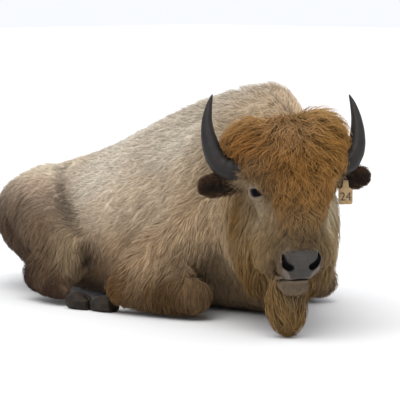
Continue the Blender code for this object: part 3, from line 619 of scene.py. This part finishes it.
def coat_colours(points, part):
    body_marks = BODY_COLOURS + tuple(((x, -y, z), colour) for (x, y, z), colour in BODY_COLOURS if y)
    head_marks = HEAD_COLOURS + tuple(((a, -b, c), colour) for (a, b, c), colour in HEAD_COLOURS[8:] if b)
    sums = [spread(points, body_marks), spread(points, NECK_COLOURS),
            spread(points, head_marks, face_axes)]
    colour = sum(got for got, _ in sums) / sum(weight for _, weight in sums)
    fore, fore_weight = spread(points, FORELOCK_COLOURS, face_axes)
    fore /= fore_weight
    colour = np.where((part == FLESH.index("forelock"))[:, None], fore, colour)
    for node, brown in (("beard", BEARD_BROWN), ("ear_right", EAR_BROWN), ("ear_left", EAR_BROWN),
                        ("tail_tuft", TUFT_BROWN)):
        colour[part == FLESH.index(node)] = brown
    return colour


painted = softened(coat_colours(sunk, part_of), 3)
# Painted shade: the coat is darkened along the haunch's folds.
painted *= 1 - 0.72 * folded
heights = (in_head(sunk) - EAR_ROOT) @ EAR_UP
reach_out = abs(in_head(sunk)[:, 1]) - 0.155
cup = (bell(heights, 0.030) * smooth_step(reach_out, 0.0, 0.03) * smooth_step(0.155 - reach_out, 0, 0.03)
       * smooth_step(normals @ np.array(heading), 0.2, 0.6) * (on["ear_right"] | on["ear_left"]))[:, None]
painted = painted * (1 - cup) + np.array(EAR_BLACK) * cup
NOSE_GREY, NOSE_SIDE = (0.057, 0.051, 0.045), (0.22, 0.18, 0.145)
NOSTRIL_SHADE, MOUTH_SHADE = (0.004, 0.003, 0.003), (0.012, 0.008, 0.007)
LIP_GREY, LID_PALE = (0.19, 0.14, 0.095), (0.20, 0.155, 0.13)
in_lips = within(LIP_WIDTHS, -0.125, 0.046, u, v)
for colour, share in (
        (NOSE_SIDE, smooth_step(in_lips, -0.004, 0.008) * (lip_line > -0.002)),
        (LIP_GREY, smooth_step(in_lips, -0.004, 0.014) * (lip_line <= -0.002)
         * smooth_step(v, -0.112, -0.088)),
        (NOSE_GREY, smooth_step(in_pad, -0.001, 0.002)),
        # the nostrils' hollows, painted near black as shade
        (NOSTRIL_SHADE, smooth_step(-nostril, -0.002, 0.002)),
):
    share = (share * front)[:, None]
    painted = painted * (1 - share) + np.array(colour) * share
# The line between the lips is painted shade, dark along the crease and on round the sides.
mouth_shade_share = smooth_step(mouth_shade, 0.2, 0.8)[:, None]
painted = painted * (1 - mouth_shade_share) + np.array(MOUTH_SHADE) * mouth_shade_share
lid_share = smooth_step(0.0026 - lid_rim, 0, 0.0018)[:, None]
painted = painted * (1 - lid_share) + np.array(LID_PALE) * lid_share
painted *= 1 - 0.28 * smooth_step(0.009 - lid_rim, 0, 0.005)[:, None]
bare_skin = smooth_step(in_pad, -0.004, 0.001) * (lip_line > -0.002) * front


def feed(made, node, inputs):
    """Sets a node's inputs: to a value, or to what another node gives."""
    for label, source in inputs.items():
        if isinstance(source, bpy.types.NodeSocket):
            made.node_tree.links.new(source, node.inputs[label])
        else:
            node.inputs[label].default_value = source


def added(made, kind, inputs=None, **settings):
    """A new node of the material, with its settings and inputs."""
    node = made.node_tree.nodes.new("ShaderNode" + kind)
    for setting, value in settings.items():
        setattr(node, setting, value)
    feed(made, node, inputs or {})
    return node


def coat_material(name, dark, light, varied):
    """Hair: the coat's own colour, darkened at the roots as painted shade between the locks and, where light
    is over 1, lightened at the tips as painted highlight, with each lock a little lighter or darker.
    """
    made, shader = plain_material(name, (0.4, 0.3, 0.2), 0.75)
    colour, tip, tint = (added(made, "Attribute", attribute_name=label) for label in ("coat", "tip", "tint"))
    place = added(made, "TexCoord")
    cloud = added(made, "TexNoise", {"Scale": 9, "Detail": 3, "Vector": place.outputs["Object"]})
    shade = added(made, "MapRange", {"From Max": 0.8, "To Min": dark, "To Max": light,
                                     "Value": tip.outputs["Fac"]})
    own = added(made, "Math", {0: tint.outputs["Fac"], 1: varied, 2: shade.outputs["Result"]},
                operation="MULTIPLY_ADD")
    patchy = added(made, "MapRange", {"From Min": 0.3, "From Max": 0.7, "To Min": 0.86, "To Max": 1.12,
                                      "Value": cloud.outputs["Fac"]})
    both = added(made, "Math", {0: own.outputs["Value"], 1: patchy.outputs["Result"]}, operation="MULTIPLY")
    scaled = added(made, "VectorMath", {0: colour.outputs["Color"], "Scale": both.outputs["Value"]},
                   operation="SCALE")
    feed(made, shader, {"Base Color": scaled.outputs["Vector"]})
    shader.inputs["Specular IOR Level"].default_value = 0.2
    return made


HIDE_SHADE = 0.76
wet_skin = np.maximum(bare_skin, lid_share[:, 0]) * smooth_step(nostril, -0.003, 0.001)
skin_paint = np.ones((len(sunk), 4), np.float32)
skin_paint[:, :3] = painted * (1 + wet_skin * (1 / HIDE_SHADE - 1))[:, None]
hide.attributes.new("coat", "FLOAT_COLOR", "POINT").data.foreach_set("color", skin_paint.ravel())
hide.attributes.new("wet", "FLOAT", "POINT").data.foreach_set("value", wet_skin.astype(np.float32))
hide_finish = coat_material("hide", HIDE_SHADE, HIDE_SHADE, 0.10)
shader = hide_finish.node_tree.nodes["Principled BSDF"]
wet = added(hide_finish, "Attribute", attribute_name="wet")
gloss = added(hide_finish, "MapRange", {"To Min": 0.8, "To Max": 0.42, "Value": wet.outputs["Fac"]})
place = added(hide_finish, "TexCoord").outputs["Object"]
pebbles = added(hide_finish, "TexVoronoi", {"Scale": 330, "Vector": place})
fuzz = added(hide_finish, "TexNoise", {"Scale": 260, "Detail": 3, "Vector": place})
down = added(hide_finish, "Bump", {"Strength": 0.8, "Distance": 0.004, "Height": fuzz.outputs["Fac"]})
grain = added(hide_finish, "Bump", {"Distance": 0.0025, "Strength": wet.outputs["Fac"],
                                    "Height": pebbles.outputs["Distance"], "Normal": down.outputs["Normal"]})
feed(hide_finish, shader, {"Roughness": gloss.outputs["Result"], "Normal": grain.outputs["Normal"]})
skin.data.materials.append(hide_finish)
skin.data.shade_smooth()
for other in bpy.context.selected_objects:      # only the skin is unwrapped, never the frame's own nodes
    other.select_set(False)
bpy.context.view_layer.objects.active = skin
skin.select_set(True)
bpy.ops.object.mode_set(mode="EDIT")
bpy.ops.mesh.select_all(action="SELECT")
bpy.ops.uv.smart_project(angle_limit=math.radians(66), island_margin=0.002)
bpy.ops.object.mode_set(mode="OBJECT")
hide.uv_layers.active.name = "OFBake"
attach(skin, "root")
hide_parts(*FLESH)

# ---------------------------------------------------------------- eyes
# Two dark eyes, each a glossy ball with a wide pupil. They sit in the head, and the skin's lids hold them.

EYE_DARK, IRIS_BROWN, PUPIL_BLACK = (0.004, 0.003, 0.005), (0.007, 0.005, 0.007), (0.001, 0.001, 0.002)
for side, name in ((-1, "right"), (1, "left")):
    ball = bmesh.new()
    bmesh.ops.create_uvsphere(ball, u_segments=48, v_segments=32, radius=EYE_SIZE)
    ball.verts.index_update()
    listed = sorted(ball.faces, key=lambda face: sorted(corner.index for corner in face.verts))
    rank = {face: number for number, face in enumerate(listed)}
    ball.faces.sort(key=lambda face: rank[face])
    out = Vector(np.array(face_axes) @ eye_axes(side)[0])
    place = head_frame @ Vector((EYE_ALONG, side * EYE_OUT, EYE_HEIGHT))
    turned = Matrix.Translation(place) @ out.to_track_quat("Z", "Y").to_matrix().to_4x4()
    bmesh.ops.transform(ball, matrix=turned, verts=ball.verts)
    eyeball = new_piece(f"eyeball_{name}", ball)
    eyeball.data.shade_smooth()
    paint = np.tile((*EYE_DARK, 1.0), (len(eyeball.data.vertices), 1)).astype(np.float32)
    seen = (numbers(eyeball.data.vertices, "co", 3) - np.array(place)) @ np.array(out)
    paint[seen > 0.80 * EYE_SIZE, :3] = IRIS_BROWN
    paint[seen > 0.93 * EYE_SIZE, :3] = PUPIL_BLACK
    eyeball.data.attributes.new("iris", "FLOAT_COLOR", "POINT").data.foreach_set("color", paint.ravel())
    wet, shader = plain_material(f"wet_eye_{name}", EYE_DARK, 0.16)
    colour = added(wet, "Attribute", attribute_name="iris")
    feed(wet, shader, {"Base Color": colour.outputs["Color"]})
    shader.inputs["Specular IOR Level"].default_value = 0.04
    eyeball.data.materials.append(wet)
    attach(eyeball, "root")
    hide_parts(f"eye_{name}")

# ---------------------------------------------------------------- horns
# Two dark keratin horns that grow from the temples and curve in, ringed near the base, smooth at the
# tip. Each is swept from a circle along its line: to the side, up and forward from the poll, and radius.

HORN_LINES = {
    -1: ((0.120, -0.020, 0.010, 0.0425), (0.135, -0.020, 0.010, 0.0425), (0.178, -0.020, 0.006, 0.0425),
         (0.222, -0.006, 0.0, 0.0410), (0.253, 0.034, -0.006, 0.0350), (0.270, 0.088, -0.018, 0.0275),
         (0.275, 0.145, -0.032, 0.0195), (0.267, 0.196, -0.045, 0.0120), (0.256, 0.232, -0.053, 0.0045),
         (0.252, 0.242, -0.055, 0.0010)),
    1: ((0.120, -0.024, 0.010, 0.0425), (0.135, -0.024, 0.010, 0.0425), (0.180, -0.024, 0.006, 0.0425),
        (0.222, -0.012, 0.0, 0.0405), (0.248, 0.026, -0.006, 0.0345), (0.258, 0.076, -0.018, 0.0270),
        (0.257, 0.130, -0.032, 0.0190), (0.248, 0.178, -0.045, 0.0115), (0.238, 0.208, -0.053, 0.0045),
        (0.235, 0.217, -0.055, 0.0010)),
}
HORN_RINGS, HORN_SIDES, RIDGE_HEIGHT = 96, 32, 0.034
HORN_DARK, HORN_LIGHT = (0.005, 0.004, 0.004), (0.027, 0.021, 0.018)


def smooth_line(points, count):
    """A Catmull-Rom line through the points, as evenly many places between each two."""
    knots = np.array(points)
    knots = np.vstack((2 * knots[0] - knots[1], knots, 2 * knots[-1] - knots[-2]))
    at = np.linspace(0, len(points) - 1 - 1e-6, count)
    span, t = at.astype(int), (at % 1)[:, None]
    before, start, end, after = (knots[span + k] for k in range(4))
    return 0.5 * (2 * start + (end - before) * t + (2 * before - 5 * start + 4 * end - after) * t ** 2
                  + (3 * start - before - 3 * end + after) * t ** 3)


def swept(line, sides, ring_bumps=None):
    """A closed tube of rings along the line, whose fourth column is its radius; the map runs along it."""
    centres, radii = line[:, :3], line[:, 3].copy()
    if ring_bumps is not None:
        radii *= ring_bumps
    ways = unit(np.gradient(centres, axis=0))
    tube = bmesh.new()
    layer = tube.loops.layers.uv.new("along")
    across = Vector(ways[0]).orthogonal().normalized()
    rings = []
    for centre, radius, way in zip(centres, radii, ways):
        way = Vector(way)
        across = (across - way * across.dot(way)).normalized()
        turn = Matrix((across, way.cross(across), way)).transposed().to_4x4()
        made = bmesh.ops.create_circle(tube, segments=sides, radius=radius,
                                       matrix=Matrix.Translation(centre) @ turn)
        rings.append(made["verts"])
    for number, (near, far) in enumerate(zip(rings, rings[1:])):
        for corner in range(sides):
            after = (corner + 1) % sides
            face = tube.faces.new((near[corner], near[after], far[after], far[corner]))
            for loop, (u_at, v_at) in zip(face.loops, ((corner, number), (corner + 1, number),
                                                       (corner + 1, number + 1), (corner, number + 1))):
                loop[layer].uv = (u_at / sides, v_at / (len(rings) - 1))
    tube.faces.new(rings[0][::-1])
    tube.faces.new(rings[-1])
    bmesh.ops.recalc_face_normals(tube, faces=tube.faces)
    return tube


horn_finish, shader = plain_material("horn_keratin", HORN_DARK, 0.55)
shader.inputs["Specular IOR Level"].default_value = 0.3
horn_map = added(horn_finish, "UVMap", uv_map="along")
stretch = added(horn_finish, "Mapping", {"Scale": (26, 2.5, 1), "Vector": horn_map.outputs["UV"]})
fibres = added(horn_finish, "TexNoise", {"Scale": 1.0, "Detail": 5, "Vector": stretch.outputs["Vector"]})
worn = added(horn_finish, "TexNoise", {"Scale": 14, "Detail": 4})
feed(horn_finish, worn, {"Vector": added(horn_finish, "TexCoord").outputs["Object"]})
streak = added(horn_finish, "Math", {0: fibres.outputs["Fac"], 1: worn.outputs["Fac"]}, operation="MULTIPLY")


def toned(made, source, stops):
    """A ramp between two colours, each at its place."""
    tone = added(made, "ValToRGB", {"Fac": source})
    for stop, (place, colour) in zip(tone.color_ramp.elements, stops):
        stop.position, stop.color = place, (*colour, 1)
    return tone.outputs["Color"]


def grained(made, shader, colour, strength, height):
    """Gives the shader its colour, and a fine grain 2 mm deep."""
    grain = added(made, "Bump", {"Strength": strength, "Distance": 0.002, "Height": height})
    feed(made, shader, {"Base Color": colour, "Normal": grain.outputs["Normal"]})


horn_tone = toned(horn_finish, streak.outputs["Value"], ((0.12, HORN_DARK), (0.46, HORN_LIGHT)))
grained(horn_finish, shader, horn_tone, 0.35, fibres.outputs["Fac"])
for side, name in ((-1, "right"), (1, "left")):
    left = face_axes @ Vector((0, side, 0))
    line = smooth_line([(*(poll + left * out + UP * up + heading * ahead), radius)
                        for out, up, ahead, radius in HORN_LINES[side]], HORN_RINGS)
    share = np.linspace(0, 1, HORN_RINGS)
    waves = np.sin(share * 2 * math.pi * 15 + 2 * np.sin(share * 9))
    ridges = 1 + RIDGE_HEIGHT * waves * np.clip(1.25 - 2.2 * share, 0, 1)
    horn = new_piece(f"horn_shell_{name}", swept(line, HORN_SIDES, ridges))
    horn.data.materials.append(horn_finish)
    horn.data.shade_smooth()
    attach(horn, "root")
    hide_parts(f"horn_{name}")

# ---------------------------------------------------------------- hooves
# Four cloven hooves of dark horn with faint growth rings, muddy and worn round at the edges. They end
# the folded legs, and lie under the body.

hoof_finish, shader = plain_material("hoof_horn", (0.020, 0.015, 0.012), 0.75)
shader.inputs["Specular IOR Level"].default_value = 0.2
place = added(hoof_finish, "TexCoord").outputs["Object"]
bands = added(hoof_finish, "TexWave", {"Scale": 22, "Distortion": 3, "Detail": 3, "Vector": place},
              bands_direction="Z")
mud = added(hoof_finish, "TexNoise", {"Scale": 30, "Vector": place})
mud_tone = toned(hoof_finish, mud.outputs["Fac"],
                 ((0.3, (0.008, 0.006, 0.005)), (0.75, (0.035, 0.024, 0.016))))
grained(hoof_finish, shader, mud_tone, 0.3, bands.outputs["Fac"])
for name in ("fore_hoof_right", "fore_hoof_left", "hind_hoof_right", "hind_hoof_left"):
    hoof = new_piece(f"{name}_shell", copied(name))
    fine_hoof = hoof.modifiers.new("fine", "REMESH")
    fine_hoof.mode, fine_hoof.voxel_size = "VOXEL", 0.0024
    rounded = hoof.modifiers.new("rounded", "SMOOTH")
    rounded.factor, rounded.iterations = 0.5, 5
    worked = bpy.data.meshes.new_from_object(hoof.evaluated_get(bpy.context.evaluated_depsgraph_get()))
    hoof.modifiers.clear()
    hoof.data = worked
    hoof.data.shade_smooth()
    hoof.data.materials.append(hoof_finish)
    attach(hoof, "root")
    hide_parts(name)

# ---------------------------------------------------------------- ear tag
# A soft moulded plastic plate that hangs from the left ear on a short neck, with a plain number
# printed on its front.

TAG_TAN, TAG_INK = (0.44, 0.29, 0.13), (0.030, 0.022, 0.018)
TAG_NUMBER = "24"
plate = copied("ear_tag")
bmesh.ops.dissolve_limit(plate, angle_limit=math.radians(2), verts=plate.verts, edges=plate.edges)
bmesh.ops.bevel(plate, geom=plate.edges[:], offset=0.0009, segments=2, profile=0.5, affect="EDGES",
                material=-1)
tag = new_piece("tag_plate", plate)
tag_finish, shader = plain_material("tag_plastic", TAG_TAN, 0.5)
place = added(tag_finish, "TexCoord").outputs["Object"]
grime = added(tag_finish, "TexNoise", {"Scale": 55, "Detail": 4, "Vector": place})
tag_tone = toned(tag_finish, grime.outputs["Fac"], ((0.35, (0.28, 0.19, 0.09)), (0.6, TAG_TAN)))
feed(tag_finish, shader, {"Base Color": tag_tone})
tag.data.materials.append(tag_finish)
tag.data.shade_smooth()
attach(tag, "root")
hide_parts("ear_tag")
tag_corners = numbers(tag.data.vertices, "co", 3)
tag_low, tag_high = Vector(tag_corners.min(0)), Vector(tag_corners.max(0))
level = (heading + heading.cross(UP) * -0.1).normalized()
tag_across = UP.cross(level).normalized()
letters = bpy.data.curves.new("number", "FONT")
letters.body = TAG_NUMBER
letters.size, letters.extrude = 0.042, 0.0005
letters.align_x, letters.align_y = "CENTER", "CENTER"
written = bpy.data.objects.new("number", letters)
bpy.context.scene.collection.objects.link(written)
number_mesh = bpy.data.meshes.new_from_object(written.evaluated_get(bpy.context.evaluated_depsgraph_get()))
bpy.data.objects.remove(written)
spot = (tag_low + tag_high) / 2 - UP * 0.016
spot += level * ((Vector(tag_corners[np.argmax(tag_corners @ np.array(level))]) - spot).dot(level) + 0.0002)
number_mesh.transform(Matrix.Translation(spot) @ Matrix((tag_across, UP, level)).transposed().to_4x4())
tag_number = bpy.data.objects.new("tag_number", number_mesh)
bpy.context.scene.collection.objects.link(tag_number)
ink, _ = plain_material("tag_ink", TAG_INK, 0.6)
tag_number.data.materials.clear()
tag_number.data.materials.append(ink)
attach(tag_number, "root")

# ---------------------------------------------------------------- coat
# Woolly winter hair over the whole hide: thousands of tapered locks, each rooted in the hide and lying
# along it, gathered into tufts whose tips draw together, with finer and shorter hair on the face.

SINK = 0.004            # how deep a root lies in the hide
TUFT_PATCH = 0.003      # a lock's width on the hide's unwrap
rng = np.random.default_rng(8)

hide.calc_loop_triangles()
corners = numbers(hide.loop_triangles, "vertices", 3, np.int32)
patch_area = numbers(hide.loop_triangles, "area", 1)
tree = BVHTree.FromPolygons(sunk.tolist(), corners.tolist())
patch_normal = unit(normals[corners].mean(1))
patch_flow = unit(flow[corners].mean(1))
patch_size = coat_size[corners].mean(1)
patch_place = sunk[corners].mean(1)
patch_part = part_of[corners[:, 0]]
patch_face = in_head(patch_place)


def scatter(thickness, chosen):
    """Roots over the chosen patches, so that the locks lie about this many deep."""
    crowd = thickness * patch_area / (patch_size[:, 0] * patch_size[:, 3]) * chosen
    total = np.cumsum(crowd)
    ranks = np.arange(0.5, total[-1])
    ranks = np.clip(ranks + rng.uniform(-0.5, 0.5, len(ranks)), 0, total[-1] - 1e-6)
    patch = np.searchsorted(total, ranks, side="right")
    first, second = rng.random((2, len(patch), 1))
    folded = first + second > 1
    first, second = np.where(folded, 1 - first, first), np.where(folded, 1 - second, second)
    a, b, c = (sunk[corners[patch, k]] for k in range(3))
    return a + (b - a) * first + (c - a) * second, patch


def grow(roots, patch, rings, gap, splay=0.22, curl=0.0, curl_length=0.06, together=0.6, rise=1.0):
    """The centre lines, sides and ups of the locks, rings + 1 of each along every lock."""
    count = len(roots)
    seeds = roots[rng.permutation(count)[:max(int(count / gap), 1)]]
    sizes = patch_size[patch]
    finder = KDTree(len(seeds))
    for number, seed in enumerate(seeds.tolist()):
        finder.insert(seed, number)
    finder.balance()
    tuft = np.array([finder.find(root)[1] for root in roots.tolist()])
    tuft_lean = rng.normal(0, splay, len(seeds))
    tuft_long = rng.uniform(0.8, 1.12, len(seeds))
    tuft_high = rng.uniform(0.75, 1.05, len(seeds))
    tuft_tint = rng.normal(0, 1, len(seeds))
    length = sizes[:, 0] * tuft_long[tuft] * rng.uniform(0.75, 1.1, count)
    height = rise * sizes[:, 1] * tuft_high[tuft] * (0.25 + 0.75 * rng.random(count) ** 0.8)
    lean = tuft_lean[tuft] + rng.normal(0, splay * 0.5, count)
    phase = rng.uniform(0, 2 * math.pi, len(seeds))[tuft] + rng.normal(0, 0.5, count)
    to_tuft = seeds[tuft] - roots
    place, lines, sides, ups = roots.copy(), [], [], []
    for ring in range(rings + 1):
        share = ring / rings
        hits = [tree.find_nearest(point) for point in place.tolist()]
        at = np.array([hit[2] for hit in hits])
        surface = np.array([hit[0][:] for hit in hits])
        normal = patch_normal[at]
        way = patch_flow[at]
        way = unit(way - normal * (way * normal).sum(1, keepdims=True))
        across = np.cross(normal, way)
        angle = lean + curl * np.sin(phase + 2 * math.pi * share * length / curl_length)
        way = way * np.cos(angle)[:, None] + across * np.sin(angle)[:, None]
        across = np.cross(normal, way)
        drawn = to_tuft - normal * (to_tuft * normal).sum(1, keepdims=True)
        lift = height * (1 - (1 - share) ** 2) - SINK * (1 - share)
        lines.append(surface + normal * lift[:, None] + drawn * together * share ** 1.3)
        sides.append(across)
        ups.append(normal)
        place = surface + way * (length / rings)[:, None]
    lines = np.array(lines)
    lines[..., 2] = np.maximum(lines[..., 2], 0.004)
    width = sizes[:, 3] * rng.uniform(0.7, 1.2, count)
    return lines, np.array(sides), np.array(ups), width, tuft_tint[tuft] * 0.6 + rng.normal(0, 0.8, count)


def clear_of_eyes(lines):
    """Which locks leave both eyes free: none of their length lies in front of an opening."""
    free = np.ones(lines.shape[1], bool)
    for side in (-1, 1):
        out, along, up = eye_axes(side)
        gap = in_head(lines.reshape(-1, 3)) - (EYE_ALONG, side * EYE_OUT, EYE_HEIGHT)
        ahead = gap @ out
        wide = LID_LONG + 0.003 + 0.25 * np.maximum(ahead - EYE_SIZE, 0)
        high = LID_UP + 0.003 + 0.25 * np.maximum(ahead - EYE_SIZE, 0)
        blocks = ((gap @ along / wide) ** 2 + (gap @ up / high) ** 2 < 1) & (ahead > -0.005) & (ahead < 0.2)
        free &= ~blocks.reshape(lines.shape[:2]).any(0)
    return free


def clear_of_mouth(lines):
    """Which locks do not hang over the line between the lips."""
    at = in_head(lines.reshape(-1, 3)) - (0, NOSE_SHIFT, 0)
    u, v = muzzle_sheet(at)
    blocks = (abs(v + 0.0645 + 0.009 * (u / 0.06) ** 2) < 0.0040) & (abs(u) < 0.064) & (at[:, 0] > 0.33)
    return ~blocks.reshape(lines.shape[:2]).any(0)


def lock_mesh(name, lines, sides, ups, width, tint, colour, unwrap):
    """Closed three-sided locks round the centre lines, drawn to a point at the tip."""
    rings, count = lines.shape[0] - 1, lines.shape[1]
    share = np.arange(rings) / rings
    half = 0.5 * ((1 - share) ** 0.65)[:, None, None] * width[None, :, None]
    twist = rng.normal(0, 0.35, count)[None, :, None]
    side = sides[:-1] * np.cos(twist) + ups[:-1] * np.sin(twist)
    up = ups[:-1] * np.cos(twist) - sides[:-1] * np.sin(twist)
    ring_points = np.stack((lines[:-1] + side * half - up * half * 0.25, lines[:-1] + up * half * 0.7,
                            lines[:-1] - side * half - up * half * 0.25), axis=2)
    body = ring_points.transpose(1, 0, 2, 3).reshape(count, rings * 3, 3)
    points = np.concatenate((body, lines[-1][:, None]), axis=1)
    faces = []
    for ring in range(rings - 1):
        for corner in range(3):
            here, after = ring * 3 + corner, ring * 3 + (corner + 1) % 3
            faces += [(here, after, after + 3), (here, after + 3, here + 3)]
    last = (rings - 1) * 3
    faces += [(last + corner, last + (corner + 1) % 3, rings * 3) for corner in range(3)]
    faces += [(2, 1, 0)]
    faces = np.array(faces)
    per_lock = points.shape[1]
    all_faces = (faces[None] + (np.arange(count) * per_lock)[:, None, None]).reshape(-1, 3)
    mesh = bpy.data.meshes.new(name)
    mesh.vertices.add(count * per_lock)
    mesh.vertices.foreach_set("co", points.ravel())
    mesh.loops.add(all_faces.size)
    mesh.loops.foreach_set("vertex_index", all_faces.ravel().astype(np.int32))
    mesh.polygons.add(len(all_faces))
    mesh.polygons.foreach_set("loop_start", np.arange(0, all_faces.size, 3, dtype=np.int32))
    mesh.update(calc_edges=True)
    along = np.append(np.repeat(share, 3), 1.0)
    around = np.append(np.tile((0.0, 0.5, 1.0), rings), 0.5)
    for label, values in (("tip", np.tile(along, count)), ("tint", np.repeat(tint, per_lock))):
        mesh.attributes.new(label, "FLOAT", "POINT").data.foreach_set("value", values.astype(np.float32))
    lock_paint = np.ones((count, 4), np.float32)
    lock_paint[:, :3] = colour
    mesh.attributes.new("coat", "FLOAT_COLOR", "POINT").data.foreach_set(
        "color", np.repeat(lock_paint, per_lock, axis=0).ravel())
    spot = unwrap[:, None] + TUFT_PATCH * (np.stack((along, around), axis=1)[None] - 0.5)
    layer = mesh.uv_layers.new(name="OFBake")
    layer.data.foreach_set("uv", spot.reshape(-1, 2)[all_faces.ravel()].astype(np.float32).ravel())
    mesh.polygons.foreach_set("use_smooth", np.ones(len(all_faces), bool))
    piece = bpy.data.objects.new(name, mesh)
    bpy.context.scene.collection.objects.link(piece)
    return piece


corner_loops = numbers(hide.loop_triangles, "loops", 3, np.int32)
flat_map = numbers(hide.uv_layers["OFBake"].data, "uv", 2)
patch_map = flat_map[corner_loops].mean(1)
patch_colour = painted[corners].mean(1)
# Each hair's roots carry painted shade, and the long and curly hair's tips a painted highlight.
body_hair = coat_material("body_hair", 0.80, 1.00, 0.05)
long_hair = coat_material("long_hair", 0.50, 1.35, 0.10)
curly_hair = coat_material("curly_hair", 0.50, 1.40, 0.10)


def coat_piece(name, chosen, thickness, rings, gap, finish, **lie):
    """A piece of coat on the chosen patches: how many locks deep, rings to a lock and locks to a tuft."""
    roots, patch = scatter(thickness, chosen)
    lines, sides, ups, width, tint = grow(roots, patch, rings, gap, **lie)
    keep = clear_of_eyes(lines) & clear_of_mouth(lines)
    piece = lock_mesh(name, lines[:, keep], sides[:, keep], ups[:, keep], width[keep], tint[keep],
                      patch_colour[patch[keep]], patch_map[patch[keep]])
    piece.data.materials.append(finish)
    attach(piece, "root")


def belongs(*nodes):
    return np.isin(patch_part, [FLESH.index(node) for node in nodes])


# Where hair is left off or kept short: the wet pad, the lids' rims, the mouth line, the chin and the lip.
chin = (in_lips > 0) & (lip_line <= -0.002) & (v > -0.122) & (abs(u) < 0.072)
chin_patch = (chin * front)[corners].mean(1) > 0.4
bare = (bare_skin[corners].mean(1) > 0.4) | (lid_rim[corners].min(1) < 0.003) | (
    mouth_shade[corners].max(1) > 0.05)
patch_size[chin_patch] = (0.020, 0.005, 0.002, 0.0022)
lip_patch = ((in_lips > -0.004) & (lip_line > -0.002) & (front > 0.3))[corners].all(1)
patch_size[lip_patch] = (0.007, 0.0016, 0.002, 0.0016)
body_place = from_withers(patch_place)
lying = (patch_place[:, 2] < 0.015) & (patch_normal[:, 2] < -0.4)

# ---------------------------------------------------------------- coat of the trunk and legs
# Dense short winter hair that lies back and down, in four stretches of each side of the trunk and one
# piece for each leg. None grows where the animal lies on it.

along = body_place[:, 0]
trunk_hide = belongs("trunk") & ~lying
right = body_place[:, 1] < 0
for stretch, inside in (("fore", along > -0.12), ("middle", (along <= -0.12) & (along > -0.55)),
                        ("rear", (along <= -0.55) & (along > -0.95)), ("rump", along <= -0.95)):
    for name, half in (("right", right), ("left", ~right)):
        coat_piece(f"coat_{stretch}_{name}", trunk_hide & half & inside, 3.0, 2, 12, body_hair, splay=0.25,
                   together=0.5)
for name in ("right", "left"):
    coat_piece(f"coat_foreleg_{name}", belongs(f"foreleg_{name}") & ~lying, 3.6, 3, 14, body_hair)
    coat_piece(f"coat_hindleg_{name}", belongs(f"hindleg_{name}") & ~lying, 3.8, 2, 14, body_hair)

# ---------------------------------------------------------------- mane and beard
# Long coarse hair that hangs from the neck and the chin, in heavy wavy tufts rooted in the hide. The
# mane is parted along the middle of the face.

for name, half in (("right", patch_face[:, 1] < -0.02), ("left", patch_face[:, 1] >= -0.02)):
    coat_piece(f"mane_{name}", belongs("neck") & ~lying & half, 6.8, 3, 18, long_hair, splay=0.22, curl=0.25,
               curl_length=0.08)
coat_piece("beard_hair", belongs("beard") & ~chin_patch, 7, 5, 14, long_hair, splay=0.25, curl=0.35,
           curl_length=0.08)

# ---------------------------------------------------------------- forelock
# The thick orange-brown mop between the horns: curly hair that falls over the brow from a whorl at the
# crown, where it stands up in all directions.

head_right = patch_face[:, 1] < 0
crown = bell(np.linalg.norm(patch_face - (-0.08, 0.0, 0.13), axis=1), 0.09)
patch_flow += unit(rng.normal(0, 1, patch_flow.shape)) * (0.7 * crown[:, None])
for name, half in (("right", head_right), ("left", ~head_right)):
    coat_piece(f"forelock_{name}", belongs("forelock") * half * (1 + 1.2 * crown), 7, 5, 14, curly_hair,
               splay=0.3, curl=0.45, curl_length=0.06, rise=1.3)

# ---------------------------------------------------------------- hair of the face, ears and tail
# The face's short hair is thickest below the eyes. Dark soft hair fringes the ears, and the tail is
# thinly haired down to the long tuft at its end.

below_eye = np.column_stack((patch_face[:, 0], abs(patch_face[:, 1]), patch_face[:, 2]))
below_eye = np.linalg.norm(below_eye - (0.175, 0.12, -0.01), axis=1)
face_thickness = 4.7 + 5.0 * bell(below_eye, 0.045)
for name, half in (("right", head_right), ("left", ~head_right)):
    coat_piece(f"face_hair_{name}", (belongs("head") | chin_patch) & ~bare & half, face_thickness, 3, 12,
               body_hair)
coat_piece("ear_hair", belongs("ear_right", "ear_left"), 7, 3, 9, long_hair, splay=0.45, rise=2.4)
coat_piece("tail_hair", belongs("tail"), 4, 3, 8, body_hair)
coat_piece("tail_tuft_hair", belongs("tail_tuft"), 6, 5, 12, long_hair, curl=0.3)
